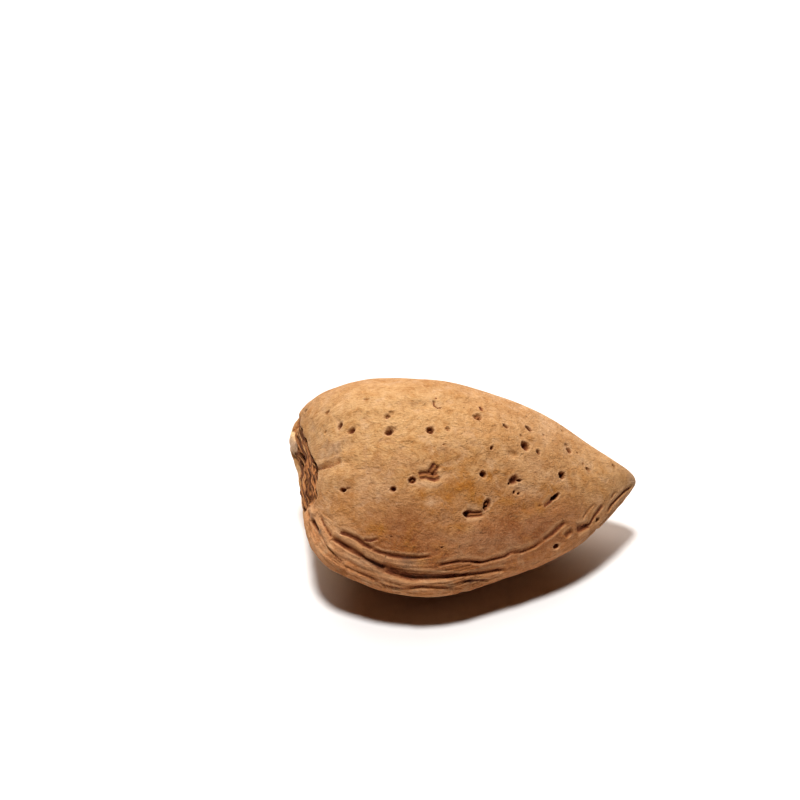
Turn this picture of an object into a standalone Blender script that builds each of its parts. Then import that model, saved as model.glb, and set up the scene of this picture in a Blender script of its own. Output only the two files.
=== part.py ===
"""Almond in its shell, lying on one cheek: one closed solid, stem end toward -X, tip toward +X, +Z up.

The body is a loft about a straight axis from the stem end to the tip. A point on it has a share (0 at the
stem end, 1 at the tip) and an angle round the axis (0 at the keel, 90 on the upper cheek, 180 on the back,
270 on the lower cheek). Pits, furrows, the keel and the stem scar then move each point along the normal.
Sizes are in millimetres until the mesh is made, in metres.
"""

from collections import namedtuple

import bmesh
import bpy
import numpy as np

MM = 0.001
SEED = 29

# Body
LENGTH = 36.0
TAPER = 0.36  # how far the section thins from the back to the keel
STEM_SLANT = 0.42  # the stem end faces a little toward the upper cheek
STEM_SLANT_REACH = 2.4
STEM_TILT = 0.47  # and stands out further at the back than at the keel
STEM_TILT_REACH = 2.6
STEM_TILT_LEVEL = -1.6
STEM_FADE = 9
FULLNESS_DEGREE = 6

# Half-sizes of the section, in mm from the axis, measured on the reference view's outline.
Station = namedtuple("Station", "share back keel thick")
STATIONS = (
    Station(share=0.05, back=6.2, keel=9.9, thick=4.0),
    Station(share=0.10, back=7.6, keel=12.1, thick=5.6),
    Station(share=0.20, back=8.4, keel=14.2, thick=7.5),
    Station(share=0.30, back=8.5, keel=14.9, thick=8.4),
    Station(share=0.40, back=8.4, keel=15.1, thick=8.7),
    Station(share=0.50, back=8.1, keel=14.5, thick=8.4),
    Station(share=0.60, back=7.2, keel=12.8, thick=7.6),
    Station(share=0.70, back=6.0, keel=10.5, thick=6.4),
    Station(share=0.80, back=4.6, keel=9.0, thick=4.9),
    Station(share=0.90, back=2.5, keel=5.5, thick=3.0),
    Station(share=0.96, back=1.2, keel=2.2, thick=1.7),
    Station(share=0.985, back=0.8, keel=1.0, thick=1.1),
)

# Pose: the keel is low on the viewer's side, and the tip is lower than the stem end.
LEAN = 18.0
PITCH = 6.0
PIVOT_SHARE = 0.45
FLAT_DEPTH = 0.35  # height cut off the lowest point, for the flat spot that it rests on
SMOOTH_REACH = 4.6  # the skin is smooth this far round the lowest point

# Reference view: pixels of an 800 px picture, whose centre is the viewer's aim.
PICTURE_MIDDLE = 400.0
PIVOT_RIGHT, PIVOT_DOWN = 447.0, 468.0
PIXELS_PER_MM = 9.6
VIEW_DISTANCE = 231.5
ELEVATION = 36.0

# Surface unevenness
LUMP_HEIGHT = 0.07
LUMP_SHORTEST, LUMP_LONGEST = 5.0, 13.0
GRAIN_HEIGHT = 0.018
GRAIN_SHORTEST, GRAIN_LONGEST = 0.9, 2.6
ALONG_GRAIN = (2.5, 1.0, 1.0)
WAVES = 24

# Keel and the strands beside it
KEEL_HEIGHT = 0.35
KEEL_WIDTH = 1.0
KEEL_SLIT_DEPTH = 0.45
KEEL_SLIT_WIDTH = 0.26
STRAND_HEIGHT = 0.05
STRAND_SPACING = 7.0  # degrees round the axis
STRAND_BAND = 38.0

# Stem scar: a fibrous trough across the stem end, with a flake of skin left over its upper half
SCAR_DEPTH = 0.80
SCAR_MIDDLE = 0.2
SCAR_HALF_WIDTH = 2.3
SCAR_NARROWING = 0.45
SCAR_BACK_END, SCAR_KEEL_END = -4.9, 6.6
SCAR_REACH = 3.4
SCAR_FIBRE_HEIGHT = 0.12
SCAR_FIBRE_SPACING = 0.62
FLAKE_HEIGHT = 0.70
FLAKE_BACK_END, FLAKE_KEEL_END = -4.3, 0.0
FLAKE_FAR_SIDE, FLAKE_NEAR_SIDE = -2.4, -0.1

# Pits: place in the reference view in pixels, sizes on the shell in mm, tilt in degrees from the horizontal.
# A cored pit is a ring round a stub of fibre.
Pit = namedtuple("Pit", "right down long wide deep tilt core", defaults=(0.0, 0.0))
PITS = (
    Pit(right=326, down=412, long=0.72, wide=0.42, deep=0.30, tilt=15),
    Pit(right=325, down=432, long=0.45, wide=0.32, deep=0.18, tilt=35),
    Pit(right=340, down=426, long=0.85, wide=0.50, deep=0.42, tilt=45),
    Pit(right=351, down=431, long=0.90, wide=0.60, deep=0.38, tilt=20),
    Pit(right=356, down=427, long=0.90, wide=0.60, deep=0.14, tilt=25),
    Pit(right=387, down=416, long=0.62, wide=0.60, deep=0.42),
    Pit(right=390, down=414, long=0.90, wide=0.55, deep=0.18, tilt=30),
    Pit(right=388, down=432, long=0.80, wide=0.75, deep=0.62),
    Pit(right=391, down=430, long=0.95, wide=0.80, deep=0.25, tilt=25),
    Pit(right=430, down=430, long=0.80, wide=0.74, deep=0.62, core=0.5),
    Pit(right=448, down=429, long=0.52, wide=0.48, deep=0.26),
    Pit(right=444, down=445, long=0.36, wide=0.24, deep=0.18),
    Pit(right=407, down=419, long=0.25, wide=0.20, deep=0.12),
    Pit(right=409, down=444, long=0.90, wide=0.60, deep=0.08),
    Pit(right=367, down=400, long=0.62, wide=0.26, deep=0.22),
    Pit(right=364, down=392, long=0.50, wide=0.25, deep=0.10),
    Pit(right=383, down=382, long=0.60, wide=0.40, deep=0.20),
    Pit(right=396, down=381, long=0.70, wide=0.40, deep=0.18),
    Pit(right=426, down=387, long=0.55, wide=0.30, deep=0.20, tilt=-15),
    Pit(right=394, down=408, long=0.70, wide=0.35, deep=0.08, tilt=15),
    Pit(right=418, down=402, long=1.30, wide=0.60, deep=0.09, tilt=15),
    Pit(right=478, down=416, long=0.95, wide=0.80, deep=0.36, tilt=60, core=0.8),
    Pit(right=480, down=418, long=0.32, wide=0.30, deep=0.22),
    Pit(right=506, down=426, long=0.66, wide=0.36, deep=0.40, tilt=-30),
    Pit(right=529, down=428, long=0.80, wide=0.50, deep=0.48, tilt=-35),
    Pit(right=522, down=436, long=0.42, wide=0.28, deep=0.20, tilt=-30),
    Pit(right=509, down=441, long=0.24, wide=0.20, deep=0.10),
    Pit(right=526, down=446, long=0.98, wide=0.80, deep=0.75, tilt=-35),
    Pit(right=539, down=452, long=0.52, wide=0.40, deep=0.38, tilt=-60),
    Pit(right=492, down=448, long=0.48, wide=0.36, deep=0.36, tilt=70),
    Pit(right=513, down=453, long=1.10, wide=0.60, deep=0.15),
    Pit(right=545, down=435, long=0.50, wide=0.28, deep=0.14, tilt=-70),
    Pit(right=564, down=430, long=0.40, wide=0.30, deep=0.20),
    Pit(right=570, down=449, long=0.72, wide=0.58, deep=0.50, tilt=-50),
    Pit(right=568, down=445, long=0.60, wide=0.35, deep=0.22, tilt=-60),
    Pit(right=579, down=452, long=0.26, wide=0.24, deep=0.15),
    Pit(right=585, down=464, long=0.42, wide=0.22, deep=0.18, tilt=-40),
    Pit(right=589, down=469, long=0.75, wide=0.38, deep=0.28, tilt=-25),
    Pit(right=614, down=466, long=0.48, wide=0.38, deep=0.30, tilt=-20),
    Pit(right=484, down=474, long=0.70, wide=0.60, deep=0.70, tilt=-60),
    Pit(right=563, down=475, long=0.86, wide=0.74, deep=0.75, tilt=50),
    Pit(right=514, down=480, long=1.10, wide=0.86, deep=0.42, tilt=50),
    Pit(right=520, down=480, long=0.50, wide=0.35, deep=0.40),
    Pit(right=510, down=483, long=0.34, wide=0.30, deep=0.36),
    Pit(right=515, down=492, long=0.42, wide=0.32, deep=0.40, tilt=80),
    Pit(right=520, down=494, long=0.38, wide=0.32, deep=0.38),
    Pit(right=519, down=491, long=0.90, wide=0.60, deep=0.14, tilt=-25),
    Pit(right=556, down=497, long=1.10, wide=0.48, deep=0.75, tilt=48),
    Pit(right=540, down=506, long=0.40, wide=0.30, deep=0.12),
    Pit(right=342, down=490, long=0.66, wide=0.48, deep=0.48),
    Pit(right=347, down=489, long=0.80, wide=0.32, deep=0.16, tilt=8),
    Pit(right=393, down=489, long=0.62, wide=0.52, deep=0.50),
    Pit(right=412, down=480, long=0.70, wide=0.68, deep=0.58, core=0.7),
    Pit(right=488, down=504, long=1.00, wide=0.72, deep=0.60, tilt=75, core=0.8),
    Pit(right=467, down=514, long=0.66, wide=0.62, deep=0.60, core=0.4),
    Pit(right=556, down=546, long=0.64, wide=0.52, deep=0.60, tilt=35),
    Pit(right=442, down=548, long=0.22, wide=0.20, deep=0.25),
    Pit(right=391, down=537, long=0.22, wide=0.20, deep=0.15),
    Pit(right=598, down=520, long=0.60, wide=0.40, deep=0.45, tilt=55),
    Pit(right=305, down=410, long=0.60, wide=0.40, deep=0.30, tilt=-30),
    Pit(right=301, down=438, long=0.60, wide=0.50, deep=0.50, tilt=70),
    Pit(right=297, down=457, long=1.20, wide=0.60, deep=0.60, tilt=80),
    Pit(right=297, down=466, long=0.90, wide=0.40, deep=0.40, tilt=80),
    Pit(right=313, down=467, long=1.20, wide=0.60, deep=0.50, tilt=-60),
    Pit(right=304, down=483, long=0.60, wide=0.40, deep=0.40, tilt=60),
    Pit(right=307, down=507, long=0.60, wide=0.40, deep=0.35),
)

# Furrows: a path of (right, down) pixels in the reference view, and the width and depth on the shell in mm.
FURROW_WANDER = 0.16
ALONG_FURROW = (3.0, 1.0, 1.0)
Furrow = namedtuple("Furrow", "path wide deep")
FURROWS = (
    Furrow(
        ((343, 534), (353, 538), (361, 542), (367, 547), (376, 551), (387, 554), (399, 557), (410, 558), (431, 557)),
        wide=0.50,
        deep=0.50,
    ),
    Furrow(((362, 539), (368, 540), (380, 540)), wide=0.28, deep=0.28),
    Furrow(((324, 524), (327, 530), (330, 536), (334, 539), (339, 543)), wide=0.45, deep=0.35),
    Furrow(
        ((333, 539), (348, 550), (361, 557), (373, 564), (383, 569), (395, 574), (407, 575), (422, 577), (443, 576)),
        wide=0.78,
        deep=0.85,
    ),
    Furrow(((436, 576), (451, 576), (463, 575), (480, 573), (492, 571), (505, 569)), wide=0.50, deep=0.45),
    Furrow(((437, 566), (447, 564), (459, 562), (466, 562), (480, 563)), wide=0.55, deep=0.50),
    Furrow(
        ((470, 563), (480, 563), (492, 560), (505, 557), (511, 553), (521, 552), (534, 547), (545, 540)),
        wide=0.38,
        deep=0.38,
    ),
    Furrow(((543, 541), (550, 536), (555, 532), (560, 527), (567, 522)), wide=0.36, deep=0.40),
    Furrow(
        ((321, 536), (329, 547), (338, 556), (345, 564), (361, 572), (372, 577), (391, 583), (399, 586), (414, 588)),
        wide=0.55,
        deep=0.45,
    ),
    Furrow(((408, 587), (430, 586), (442, 586), (458, 585)), wide=0.32, deep=0.25),
    Furrow(((339, 569), (351, 578), (373, 585), (388, 588)), wide=0.40, deep=0.20),
    Furrow(((461, 581), (476, 579), (489, 578)), wide=0.22, deep=0.28),
    Furrow(((450, 590), (467, 589)), wide=0.30, deep=0.15),
    Furrow(((325, 516), (328, 518), (333, 521)), wide=0.30, deep=0.22),
    Furrow(((313, 511), (318, 513)), wide=0.30, deep=0.25),
    Furrow(((311, 519), (315, 526), (319, 532)), wide=0.50, deep=0.50),
    Furrow(((577, 531), (583, 529), (590, 524), (594, 518), (598, 512)), wide=0.55, deep=0.50),
    Furrow(((586, 529), (591, 526), (595, 523), (600, 515), (603, 510), (606, 504)), wide=0.34, deep=0.32),
    Furrow(((583, 520), (586, 516), (590, 509), (593, 506)), wide=0.28, deep=0.25),
    Furrow(((607, 513), (612, 505), (618, 498), (625, 491), (631, 486)), wide=0.40, deep=0.40),
    Furrow(((611, 499), (615, 492)), wide=0.24, deep=0.18),
    Furrow(((567, 537), (572, 532)), wide=0.28, deep=0.32),
    Furrow(((317, 469), (324, 466), (331, 464), (337, 462)), wide=0.75, deep=0.36),
    Furrow(((342, 462), (347, 463), (354, 463)), wide=0.60, deep=0.16),
    Furrow(((419, 476), (425, 475), (434, 477), (439, 475)), wide=0.56, deep=0.45),
    Furrow(((430, 472), (433, 468), (436, 465)), wide=0.62, deep=0.38),
    Furrow(((467, 514), (474, 515), (482, 514)), wide=0.48, deep=0.42),
    Furrow(((487, 511), (486, 508), (487, 505)), wide=0.35, deep=0.30),
    Furrow(((433, 400), (434, 405), (438, 407), (442, 407)), wide=0.28, deep=0.24),
    Furrow(((434, 398), (438, 398)), wide=0.22, deep=0.14),
    Furrow(((480, 405), (482, 408), (483, 410)), wide=0.26, deep=0.18),
    Furrow(((544, 507), (551, 502), (555, 498)), wide=0.35, deep=0.12),
    Furrow(((556, 424), (561, 428)), wide=0.30, deep=0.14),
    Furrow(((308, 446), (311, 456), (313, 466), (313, 478), (312, 490), (311, 500)), wide=0.60, deep=0.60),
)

# Hidden sides: the same kinds of mark, by a seeded rule.
HIDDEN_PITS = 46
HIDDEN_PIT_WIDE = (0.35, 1.0)
HIDDEN_PIT_ANGLES = (186.0, 338.0)
HIDDEN_PIT_SHARES = (0.10, 0.94)
HIDDEN_FURROWS = 7
HIDDEN_FURROW_ANGLES = (343.0, 314.0)

# Mesh
RINGS = 420
AROUND = 300
TRIANGLES = 11400
SHELL_COLOUR = (0.53, 0.31, 0.15, 1.0)


def half_size(field, share):
    """Half-size in mm: an ellipse times a smooth curve through the stations' fullness."""

    def ellipse(at):
        return 2 * np.sqrt(np.clip(at * (1 - at), 0, None))

    places = np.array([station.share for station in STATIONS])
    sizes = np.array([getattr(station, field) for station in STATIONS])
    fullness = np.polyfit(places, sizes / ellipse(places), FULLNESS_DEGREE)
    return ellipse(share) * np.polyval(fullness, share)


def body(share, angle):
    """Points of the smooth body: x toward the tip, y toward the keel, z toward the upper cheek."""
    back, keel, thick = (half_size(field, share) for field in ("back", "keel", "thick"))
    cosine, sine = np.cos(angle), np.sin(angle)
    y = (keel - back) / 2 + (keel + back) / 2 * cosine
    z = thick * sine * (1 - TAPER * cosine)
    slant = STEM_SLANT * STEM_SLANT_REACH * np.tanh(z / STEM_SLANT_REACH)
    tilt = STEM_TILT * STEM_TILT_REACH * np.tanh((y - STEM_TILT_LEVEL) / STEM_TILT_REACH)
    x = LENGTH * share + (slant + tilt) * (1 - share) ** STEM_FADE
    return np.stack(np.broadcast_arrays(x, y, z), axis=-1)


def unit(vectors):
    return vectors / np.maximum(np.linalg.norm(vectors, axis=-1, keepdims=True), 1e-12)


def body_normal(share, angle):
    """Outward normals, from small steps along and round the body."""
    step = 1e-4
    ahead, behind = np.clip(share + step, step, 1 - step), np.clip(share - step, step, 1 - step)
    along = body(np.maximum(ahead, behind + step), angle) - body(behind, angle)
    inner = np.clip(share, step, 1 - step)
    around = body(inner, angle + step) - body(inner, angle - step)
    return unit(np.cross(around, along))


def posed(points):
    """Body points turned to the way the nut lies: X to the right, Y away from the viewer, Z up."""
    lean, pitch = np.radians(LEAN), np.radians(PITCH)
    along, keelward, cheekward = points[..., 0] - PIVOT_SHARE * LENGTH, points[..., 1], points[..., 2]
    y = -keelward * np.cos(lean) - cheekward * np.sin(lean)
    rise = -keelward * np.sin(lean) + cheekward * np.cos(lean)
    x = along * np.cos(pitch) + rise * np.sin(pitch)
    z = rise * np.cos(pitch) - along * np.sin(pitch)
    return np.stack([x, y, z], axis=-1)


def view_axes():
    """The reference view's right, up and toward-the-viewer directions."""
    rise = np.radians(ELEVATION)
    right = np.array([1.0, 0.0, 0.0])
    up = np.array([0.0, np.sin(rise), np.cos(rise)])
    toward = np.array([0.0, -np.cos(rise), np.sin(rise)])
    return right, up, toward


def in_picture(points):
    """Pixel places (right, down) of posed points in the reference view."""
    right, up, toward = view_axes()
    scale = PIXELS_PER_MM * VIEW_DISTANCE / (VIEW_DISTANCE - points @ toward)
    across = points @ right + (PIVOT_RIGHT - PICTURE_MIDDLE) / PIXELS_PER_MM
    above = points @ up - (PIVOT_DOWN - PICTURE_MIDDLE) / PIXELS_PER_MM
    return PICTURE_MIDDLE + scale * across, PICTURE_MIDDLE - scale * above


def grid(rings, around):
    """Shares and angles of the rings between the two ends."""
    share = (1 - np.cos(np.pi * np.arange(1, rings) / rings)) / 2
    angle = 2 * np.pi * np.arange(around) / around
    return np.meshgrid(share, angle, indexing="ij")


class Surface:
    """The smooth body on a grid, with what the marks need to find their places on it."""

    def __init__(self, share, angle):
        self.share, self.angle = share.ravel(), angle.ravel()
        self.points = body(self.share, self.angle)
        self.normals = body_normal(self.share, self.angle)
        turned = posed(self.points)
        self.right, self.down = in_picture(turned)
        toward = view_axes()[2]
        facing = posed(self.points + self.normals) - turned
        self.seen = facing @ toward > 0

    def at_pixel(self, right, down):
        """Index of the seen grid point nearest a place in the reference view."""
        away = np.hypot(self.right - right, self.down - down)
        return int(np.argmin(np.where(self.seen, away, np.inf)))

    def at_angle(self, share, degrees):
        """Index of the grid point nearest a share and an angle."""
        place = body(np.array(share), np.radians(degrees))
        return int(np.argmin(np.linalg.norm(self.points - place, axis=1)))

    def frame_at(self, index, tilt):
        """Two directions on the surface: one at a tilt from the length, and one across it."""
        normal = self.normals[index]
        length = np.array([np.cos(np.radians(tilt)), -np.sin(np.radians(tilt)), 0.0])
        first = unit(length - normal * (length @ normal))
        return first, np.cross(normal, first), normal


def waves(points, seed, shortest, longest, stretch=(1.0, 1.0, 1.0)):
    """Smooth unevenness of about unit size: a sum of plane waves in seeded directions, drawn out by stretch."""
    rng = np.random.default_rng(seed)
    directions = unit(rng.normal(size=(WAVES, 3))) / np.array(stretch)
    lengths = rng.uniform(shortest, longest, WAVES)
    phases = rng.uniform(0, 2 * np.pi, WAVES)
    total = np.zeros(len(points))
    for direction, wavelength, phase in zip(directions, lengths, phases):
        total += np.sin(points @ direction * (2 * np.pi / wavelength) + phase)
    return total * np.sqrt(2 / WAVES)


def window(values, start, end, soft):
    """1 between start and end, falling smoothly to 0 over the soft width on each side."""
    return 1 / (1 + np.exp(-(values - start) / soft)) / (1 + np.exp((values - end) / soft))


def pit_cut(surface, index, pit):
    """Depth of one pit: a bowl with steep walls and a low lip."""
    first, second, normal = surface.frame_at(index, pit.tilt)
    offset = surface.points - surface.points[index]
    reach = np.hypot(offset @ first / (pit.long / 2), offset @ second / (pit.wide / 2))
    near = np.abs(offset @ normal) < 2.0
    bowl = 1 / (1 + np.minimum(reach, 20.0) ** 6) - pit.core * np.exp(-((reach / 0.45) ** 2))
    lip = 0.12 * np.exp(-(((reach - 1.5) / 0.35) ** 2))
    return near * pit.deep * (bowl - lip)


def distance_to_path(points, path):
    """Distance of each point from a 3-D path, and how far along it the nearest place is, from 0 to 1."""
    lengths = np.linalg.norm(np.diff(path, axis=0), axis=1)
    starts = np.concatenate([[0.0], np.cumsum(lengths)])
    nearest, place = np.full(len(points), np.inf), np.zeros(len(points))
    for first, second, length, start in zip(path[:-1], path[1:], lengths, starts):
        part = np.clip((points - first) @ (second - first) / length**2, 0, 1)
        away = np.linalg.norm(points - first - part[:, None] * (second - first), axis=1)
        closer = away < nearest
        nearest[closer] = away[closer]
        place[closer] = ((start + part * length) / starts[-1])[closer]
    return nearest, place


def furrow_cut(surface, path, wide, deep, wander):
    """Depth of one furrow: steep walls, ends that fade out, and a width that wanders."""
    away, place = distance_to_path(surface.points, path)
    reach = np.minimum(away / (wide / 2 * (1 + FURROW_WANDER * wander)), 20.0)
    fade = (4 * np.clip(place * (1 - place), 0, 0.25)) ** 0.45
    lip = 0.10 * np.exp(-(((reach - 1.7) / 0.5) ** 2))
    return deep * fade * (1 / (1 + reach**4) - lip)


def hidden_pits(surface, rng):
    """Pits on the sides that the reference view doesn't show, closer together toward the tip."""
    found = []
    while len(found) < HIDDEN_PITS:
        share = HIDDEN_PIT_SHARES[0] + np.ptp(HIDDEN_PIT_SHARES) * rng.random() ** 0.8
        index = surface.at_angle(share, rng.uniform(*HIDDEN_PIT_ANGLES))
        wide = rng.uniform(*HIDDEN_PIT_WIDE)
        place = surface.points[index]
        if all(np.linalg.norm(place - surface.points[other]) > 1.9 for other, _ in found):
            long = wide * rng.uniform(1.0, 1.5)
            found.append((index, Pit(0, 0, long, wide, wide * rng.uniform(0.35, 0.7), rng.uniform(-60, 60))))
    return found


def hidden_furrows(surface, rng):
    """Furrows along the lower side of the keel, fanning from the stem scar."""
    angles = np.linspace(*HIDDEN_FURROW_ANGLES, HIDDEN_FURROWS)
    for angle in angles:
        start, end = rng.uniform(0.05, 0.16), rng.uniform(0.45, 0.88)
        drift, phase = rng.uniform(1.0, 3.0), rng.uniform(0, 2 * np.pi)
        shares = np.linspace(start, end, 9)
        bends = angle + drift * np.sin(5 * shares + phase)
        places = [surface.at_angle(share, bend) for share, bend in zip(shares, bends)]
        yield surface.points[places], rng.uniform(0.5, 1.0), rng.uniform(0.3, 0.7)


def keel_relief(surface):
    """The keel's crest with its slit, and low strands beside it."""
    z, share = surface.points[:, 2], surface.share
    keelward = np.cos(surface.angle) > 0.3
    crest = KEEL_HEIGHT * np.exp(-((z / KEEL_WIDTH) ** 2)) * window(share, 0.06, 0.86, 0.03)
    open_part = window(share, 0.05, 0.16, 0.012) + window(share, 0.86, 0.96, 0.012)
    slit = KEEL_SLIT_DEPTH * np.exp(-((z / KEEL_SLIT_WIDTH) ** 2)) * (0.2 + 0.8 * open_part)
    slit *= window(share, 0.04, 0.97, 0.01)
    degrees = np.degrees((surface.angle + np.pi) % (2 * np.pi) - np.pi)
    wander = 2.2 * waves(surface.points, SEED + 5, 7.0, 15.0)
    strand = STRAND_HEIGHT * np.cos(2 * np.pi * (degrees + wander) / STRAND_SPACING)
    strand *= window(np.abs(degrees), -99.0, STRAND_BAND, 4.0) * window(share, 0.08, 0.9, 0.04)
    return keelward * (crest - slit) + strand


def scar_relief(surface):
    """The fibrous trough across the stem end, from the back to the keel, with low lips and the flake in it."""
    x, y, z = surface.points.T
    middle, half_long = (SCAR_BACK_END + SCAR_KEEL_END) / 2, (SCAR_KEEL_END - SCAR_BACK_END) / 2
    narrowing = 1 - SCAR_NARROWING * window(y, SCAR_KEEL_END - 2.6, 99.0, 0.9)
    ragged = 0.06 * waves(surface.points, SEED + 6, 1.0, 3.0)
    across = np.abs(z - SCAR_MIDDLE) / (SCAR_HALF_WIDTH * narrowing)
    along = np.abs(y - middle) / half_long
    reach = np.clip((across**4 + along**4) ** 0.25 + ragged, 0, 20)
    bed = 1 / (1 + reach**14)
    lip = 0.10 * np.exp(-(((reach - 1.16) / 0.14) ** 2))
    wander = 0.20 * waves(surface.points, SEED + 7, 1.5, 5.0, (1.0, 4.0, 1.0))
    fibre = SCAR_FIBRE_HEIGHT * np.cos(2 * np.pi * (z + wander) / SCAR_FIBRE_SPACING)
    flake = window(y, FLAKE_BACK_END, FLAKE_KEEL_END, 0.12) * window(z, FLAKE_FAR_SIDE, FLAKE_NEAR_SIDE, 0.08)
    return window(x, -9.0, SCAR_REACH, 0.25) * (lip + bed * (fibre - SCAR_DEPTH + FLAKE_HEIGHT * flake))


def resting_place(surface):
    """1 where the nut rests, round its lowest point, and 0 away from it."""
    turned = posed(surface.points)
    away = np.linalg.norm(turned - turned[np.argmin(turned[:, 2])], axis=1)
    return 1 / (1 + (away / SMOOTH_REACH) ** 12)


def relief(surface):
    """Height in mm to move each point along its normal."""
    rng = np.random.default_rng(SEED)
    height = LUMP_HEIGHT * waves(surface.points, SEED + 1, LUMP_SHORTEST, LUMP_LONGEST)
    height += GRAIN_HEIGHT * waves(surface.points, SEED + 2, GRAIN_SHORTEST, GRAIN_LONGEST, ALONG_GRAIN)
    height += keel_relief(surface) + scar_relief(surface)
    for pit in PITS:
        height -= pit_cut(surface, surface.at_pixel(pit.right, pit.down), pit)
    for index, pit in hidden_pits(surface, rng):
        height -= pit_cut(surface, index, pit)
    wander = np.clip(waves(surface.points, SEED + 3, 1.5, 4.0, ALONG_FURROW), -2.5, 2.5)
    for furrow in FURROWS:
        path = surface.points[[surface.at_pixel(*place) for place in furrow.path]]
        height -= furrow_cut(surface, path, furrow.wide, furrow.deep, wander)
    for path, wide, deep in hidden_furrows(surface, rng):
        height -= furrow_cut(surface, path, wide, deep, wander)
    return height * (1 - resting_place(surface))


def shell_grid():
    """Posed points and triangles of the whole shell, closed with a point at each end."""
    surface = Surface(*grid(RINGS, AROUND))
    points = posed(surface.points + surface.normals * relief(surface)[:, None])
    rows = points.reshape(RINGS - 1, AROUND, 3)
    points = np.concatenate([points, [rows[0].mean(axis=0), rows[-1].mean(axis=0)]])
    stem, tip = len(points) - 2, len(points) - 1
    index = np.arange((RINGS - 1) * AROUND).reshape(RINGS - 1, AROUND)
    after = np.roll(index, -1, axis=1)
    sides = np.stack([index[:-1], index[1:], after[1:], index[:-1], after[1:], after[:-1]], axis=-1)
    stem_fan = np.stack([np.full(AROUND, stem), index[0], after[0]], axis=-1)
    tip_fan = np.stack([np.full(AROUND, tip), after[-1], index[-1]], axis=-1)
    return points, np.concatenate([sides.reshape(-1, 3), stem_fan, tip_fan])


def clear_scene():
    for obj in list(bpy.data.objects):
        bpy.data.objects.remove(obj, do_unlink=True)


def thinned(points, triangles):
    """The mesh brought down to the triangle budget, finest where the relief is."""
    mesh = bpy.data.meshes.new("almond_grid")
    mesh.from_pydata(points * MM, [], triangles.tolist())
    obj = bpy.data.objects.new("almond_grid", mesh)
    bpy.context.collection.objects.link(obj)
    decimate = obj.modifiers.new("budget", "DECIMATE")
    decimate.ratio = TRIANGLES / len(triangles)
    depsgraph = bpy.context.evaluated_depsgraph_get()
    result = bpy.data.meshes.new_from_object(obj.evaluated_get(depsgraph))
    bpy.data.objects.remove(obj, do_unlink=True)
    return result


def cut_flat(shell):
    """Cuts the flat spot that it rests on, and sets it on the floor about the middle of its box."""
    low = min(vertex.co.z for vertex in shell.verts)
    level = low + FLAT_DEPTH * MM
    everything = shell.verts[:] + shell.edges[:] + shell.faces[:]
    bmesh.ops.bisect_plane(
        shell, geom=everything, dist=1e-7, plane_co=(0, 0, level), plane_no=(0, 0, -1), clear_outer=True
    )
    rim = [edge for edge in shell.edges if edge.is_boundary]
    bmesh.ops.triangle_fill(shell, edges=rim, use_beauty=True, normal=(0, 0, -1))
    places = np.array([vertex.co for vertex in shell.verts])
    middle = (places.min(axis=0) + places.max(axis=0)) / 2
    bmesh.ops.translate(shell, verts=shell.verts[:], vec=(-middle[0], -middle[1], -level))


def shell_material():
    material = bpy.data.materials.new("almond_shell")
    material.use_nodes = True
    shader = material.node_tree.nodes["Principled BSDF"]
    shader.inputs["Base Color"].default_value = SHELL_COLOUR
    shader.inputs["Roughness"].default_value = 0.75
    return material


def main():
    clear_scene()
    mesh = thinned(*shell_grid())
    shell = bmesh.new()
    shell.from_mesh(mesh)
    cut_flat(shell)
    bmesh.ops.recalc_face_normals(shell, faces=shell.faces[:])
    shell.to_mesh(mesh)
    shell.free()
    mesh.name = "almond_shell"
    mesh.materials.clear()
    mesh.materials.append(shell_material())
    bpy.context.collection.objects.link(bpy.data.objects.new("almond_shell", mesh))


if __name__ == "__main__":
    main()
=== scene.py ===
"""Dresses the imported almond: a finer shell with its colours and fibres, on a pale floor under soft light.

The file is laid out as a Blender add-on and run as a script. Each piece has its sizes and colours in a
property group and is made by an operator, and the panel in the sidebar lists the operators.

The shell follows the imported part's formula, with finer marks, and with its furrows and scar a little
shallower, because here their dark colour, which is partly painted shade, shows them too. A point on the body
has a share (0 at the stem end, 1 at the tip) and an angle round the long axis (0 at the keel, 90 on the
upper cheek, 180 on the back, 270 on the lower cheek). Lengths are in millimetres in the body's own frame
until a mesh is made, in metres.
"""

import functools
from collections import namedtuple

import bpy
import numpy as np
from mathutils import Matrix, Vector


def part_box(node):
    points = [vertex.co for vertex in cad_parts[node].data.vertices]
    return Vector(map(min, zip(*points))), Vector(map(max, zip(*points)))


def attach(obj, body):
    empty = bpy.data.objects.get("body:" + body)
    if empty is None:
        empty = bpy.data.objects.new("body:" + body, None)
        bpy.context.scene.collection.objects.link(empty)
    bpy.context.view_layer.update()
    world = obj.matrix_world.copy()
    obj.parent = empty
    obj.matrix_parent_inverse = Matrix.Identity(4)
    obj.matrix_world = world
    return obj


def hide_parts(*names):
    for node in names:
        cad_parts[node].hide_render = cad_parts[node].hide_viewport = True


bl_info = {
    "name": "Almond in its shell",
    "version": (1, 0, 0),
    "blender": (4, 5, 0),
    "location": "3D View > Sidebar > Almond",
    "description": "Builds the shell of one almond, the fibres of its stem scar, and a small studio",
    "category": "Object",
}

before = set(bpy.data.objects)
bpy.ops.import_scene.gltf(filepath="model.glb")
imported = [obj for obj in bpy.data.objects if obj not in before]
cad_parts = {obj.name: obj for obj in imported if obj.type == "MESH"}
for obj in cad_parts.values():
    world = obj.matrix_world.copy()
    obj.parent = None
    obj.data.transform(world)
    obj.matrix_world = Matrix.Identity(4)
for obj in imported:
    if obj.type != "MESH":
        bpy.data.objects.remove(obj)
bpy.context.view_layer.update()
NODE = "almond_shell"
MM = 0.001
SEED = 29

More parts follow.
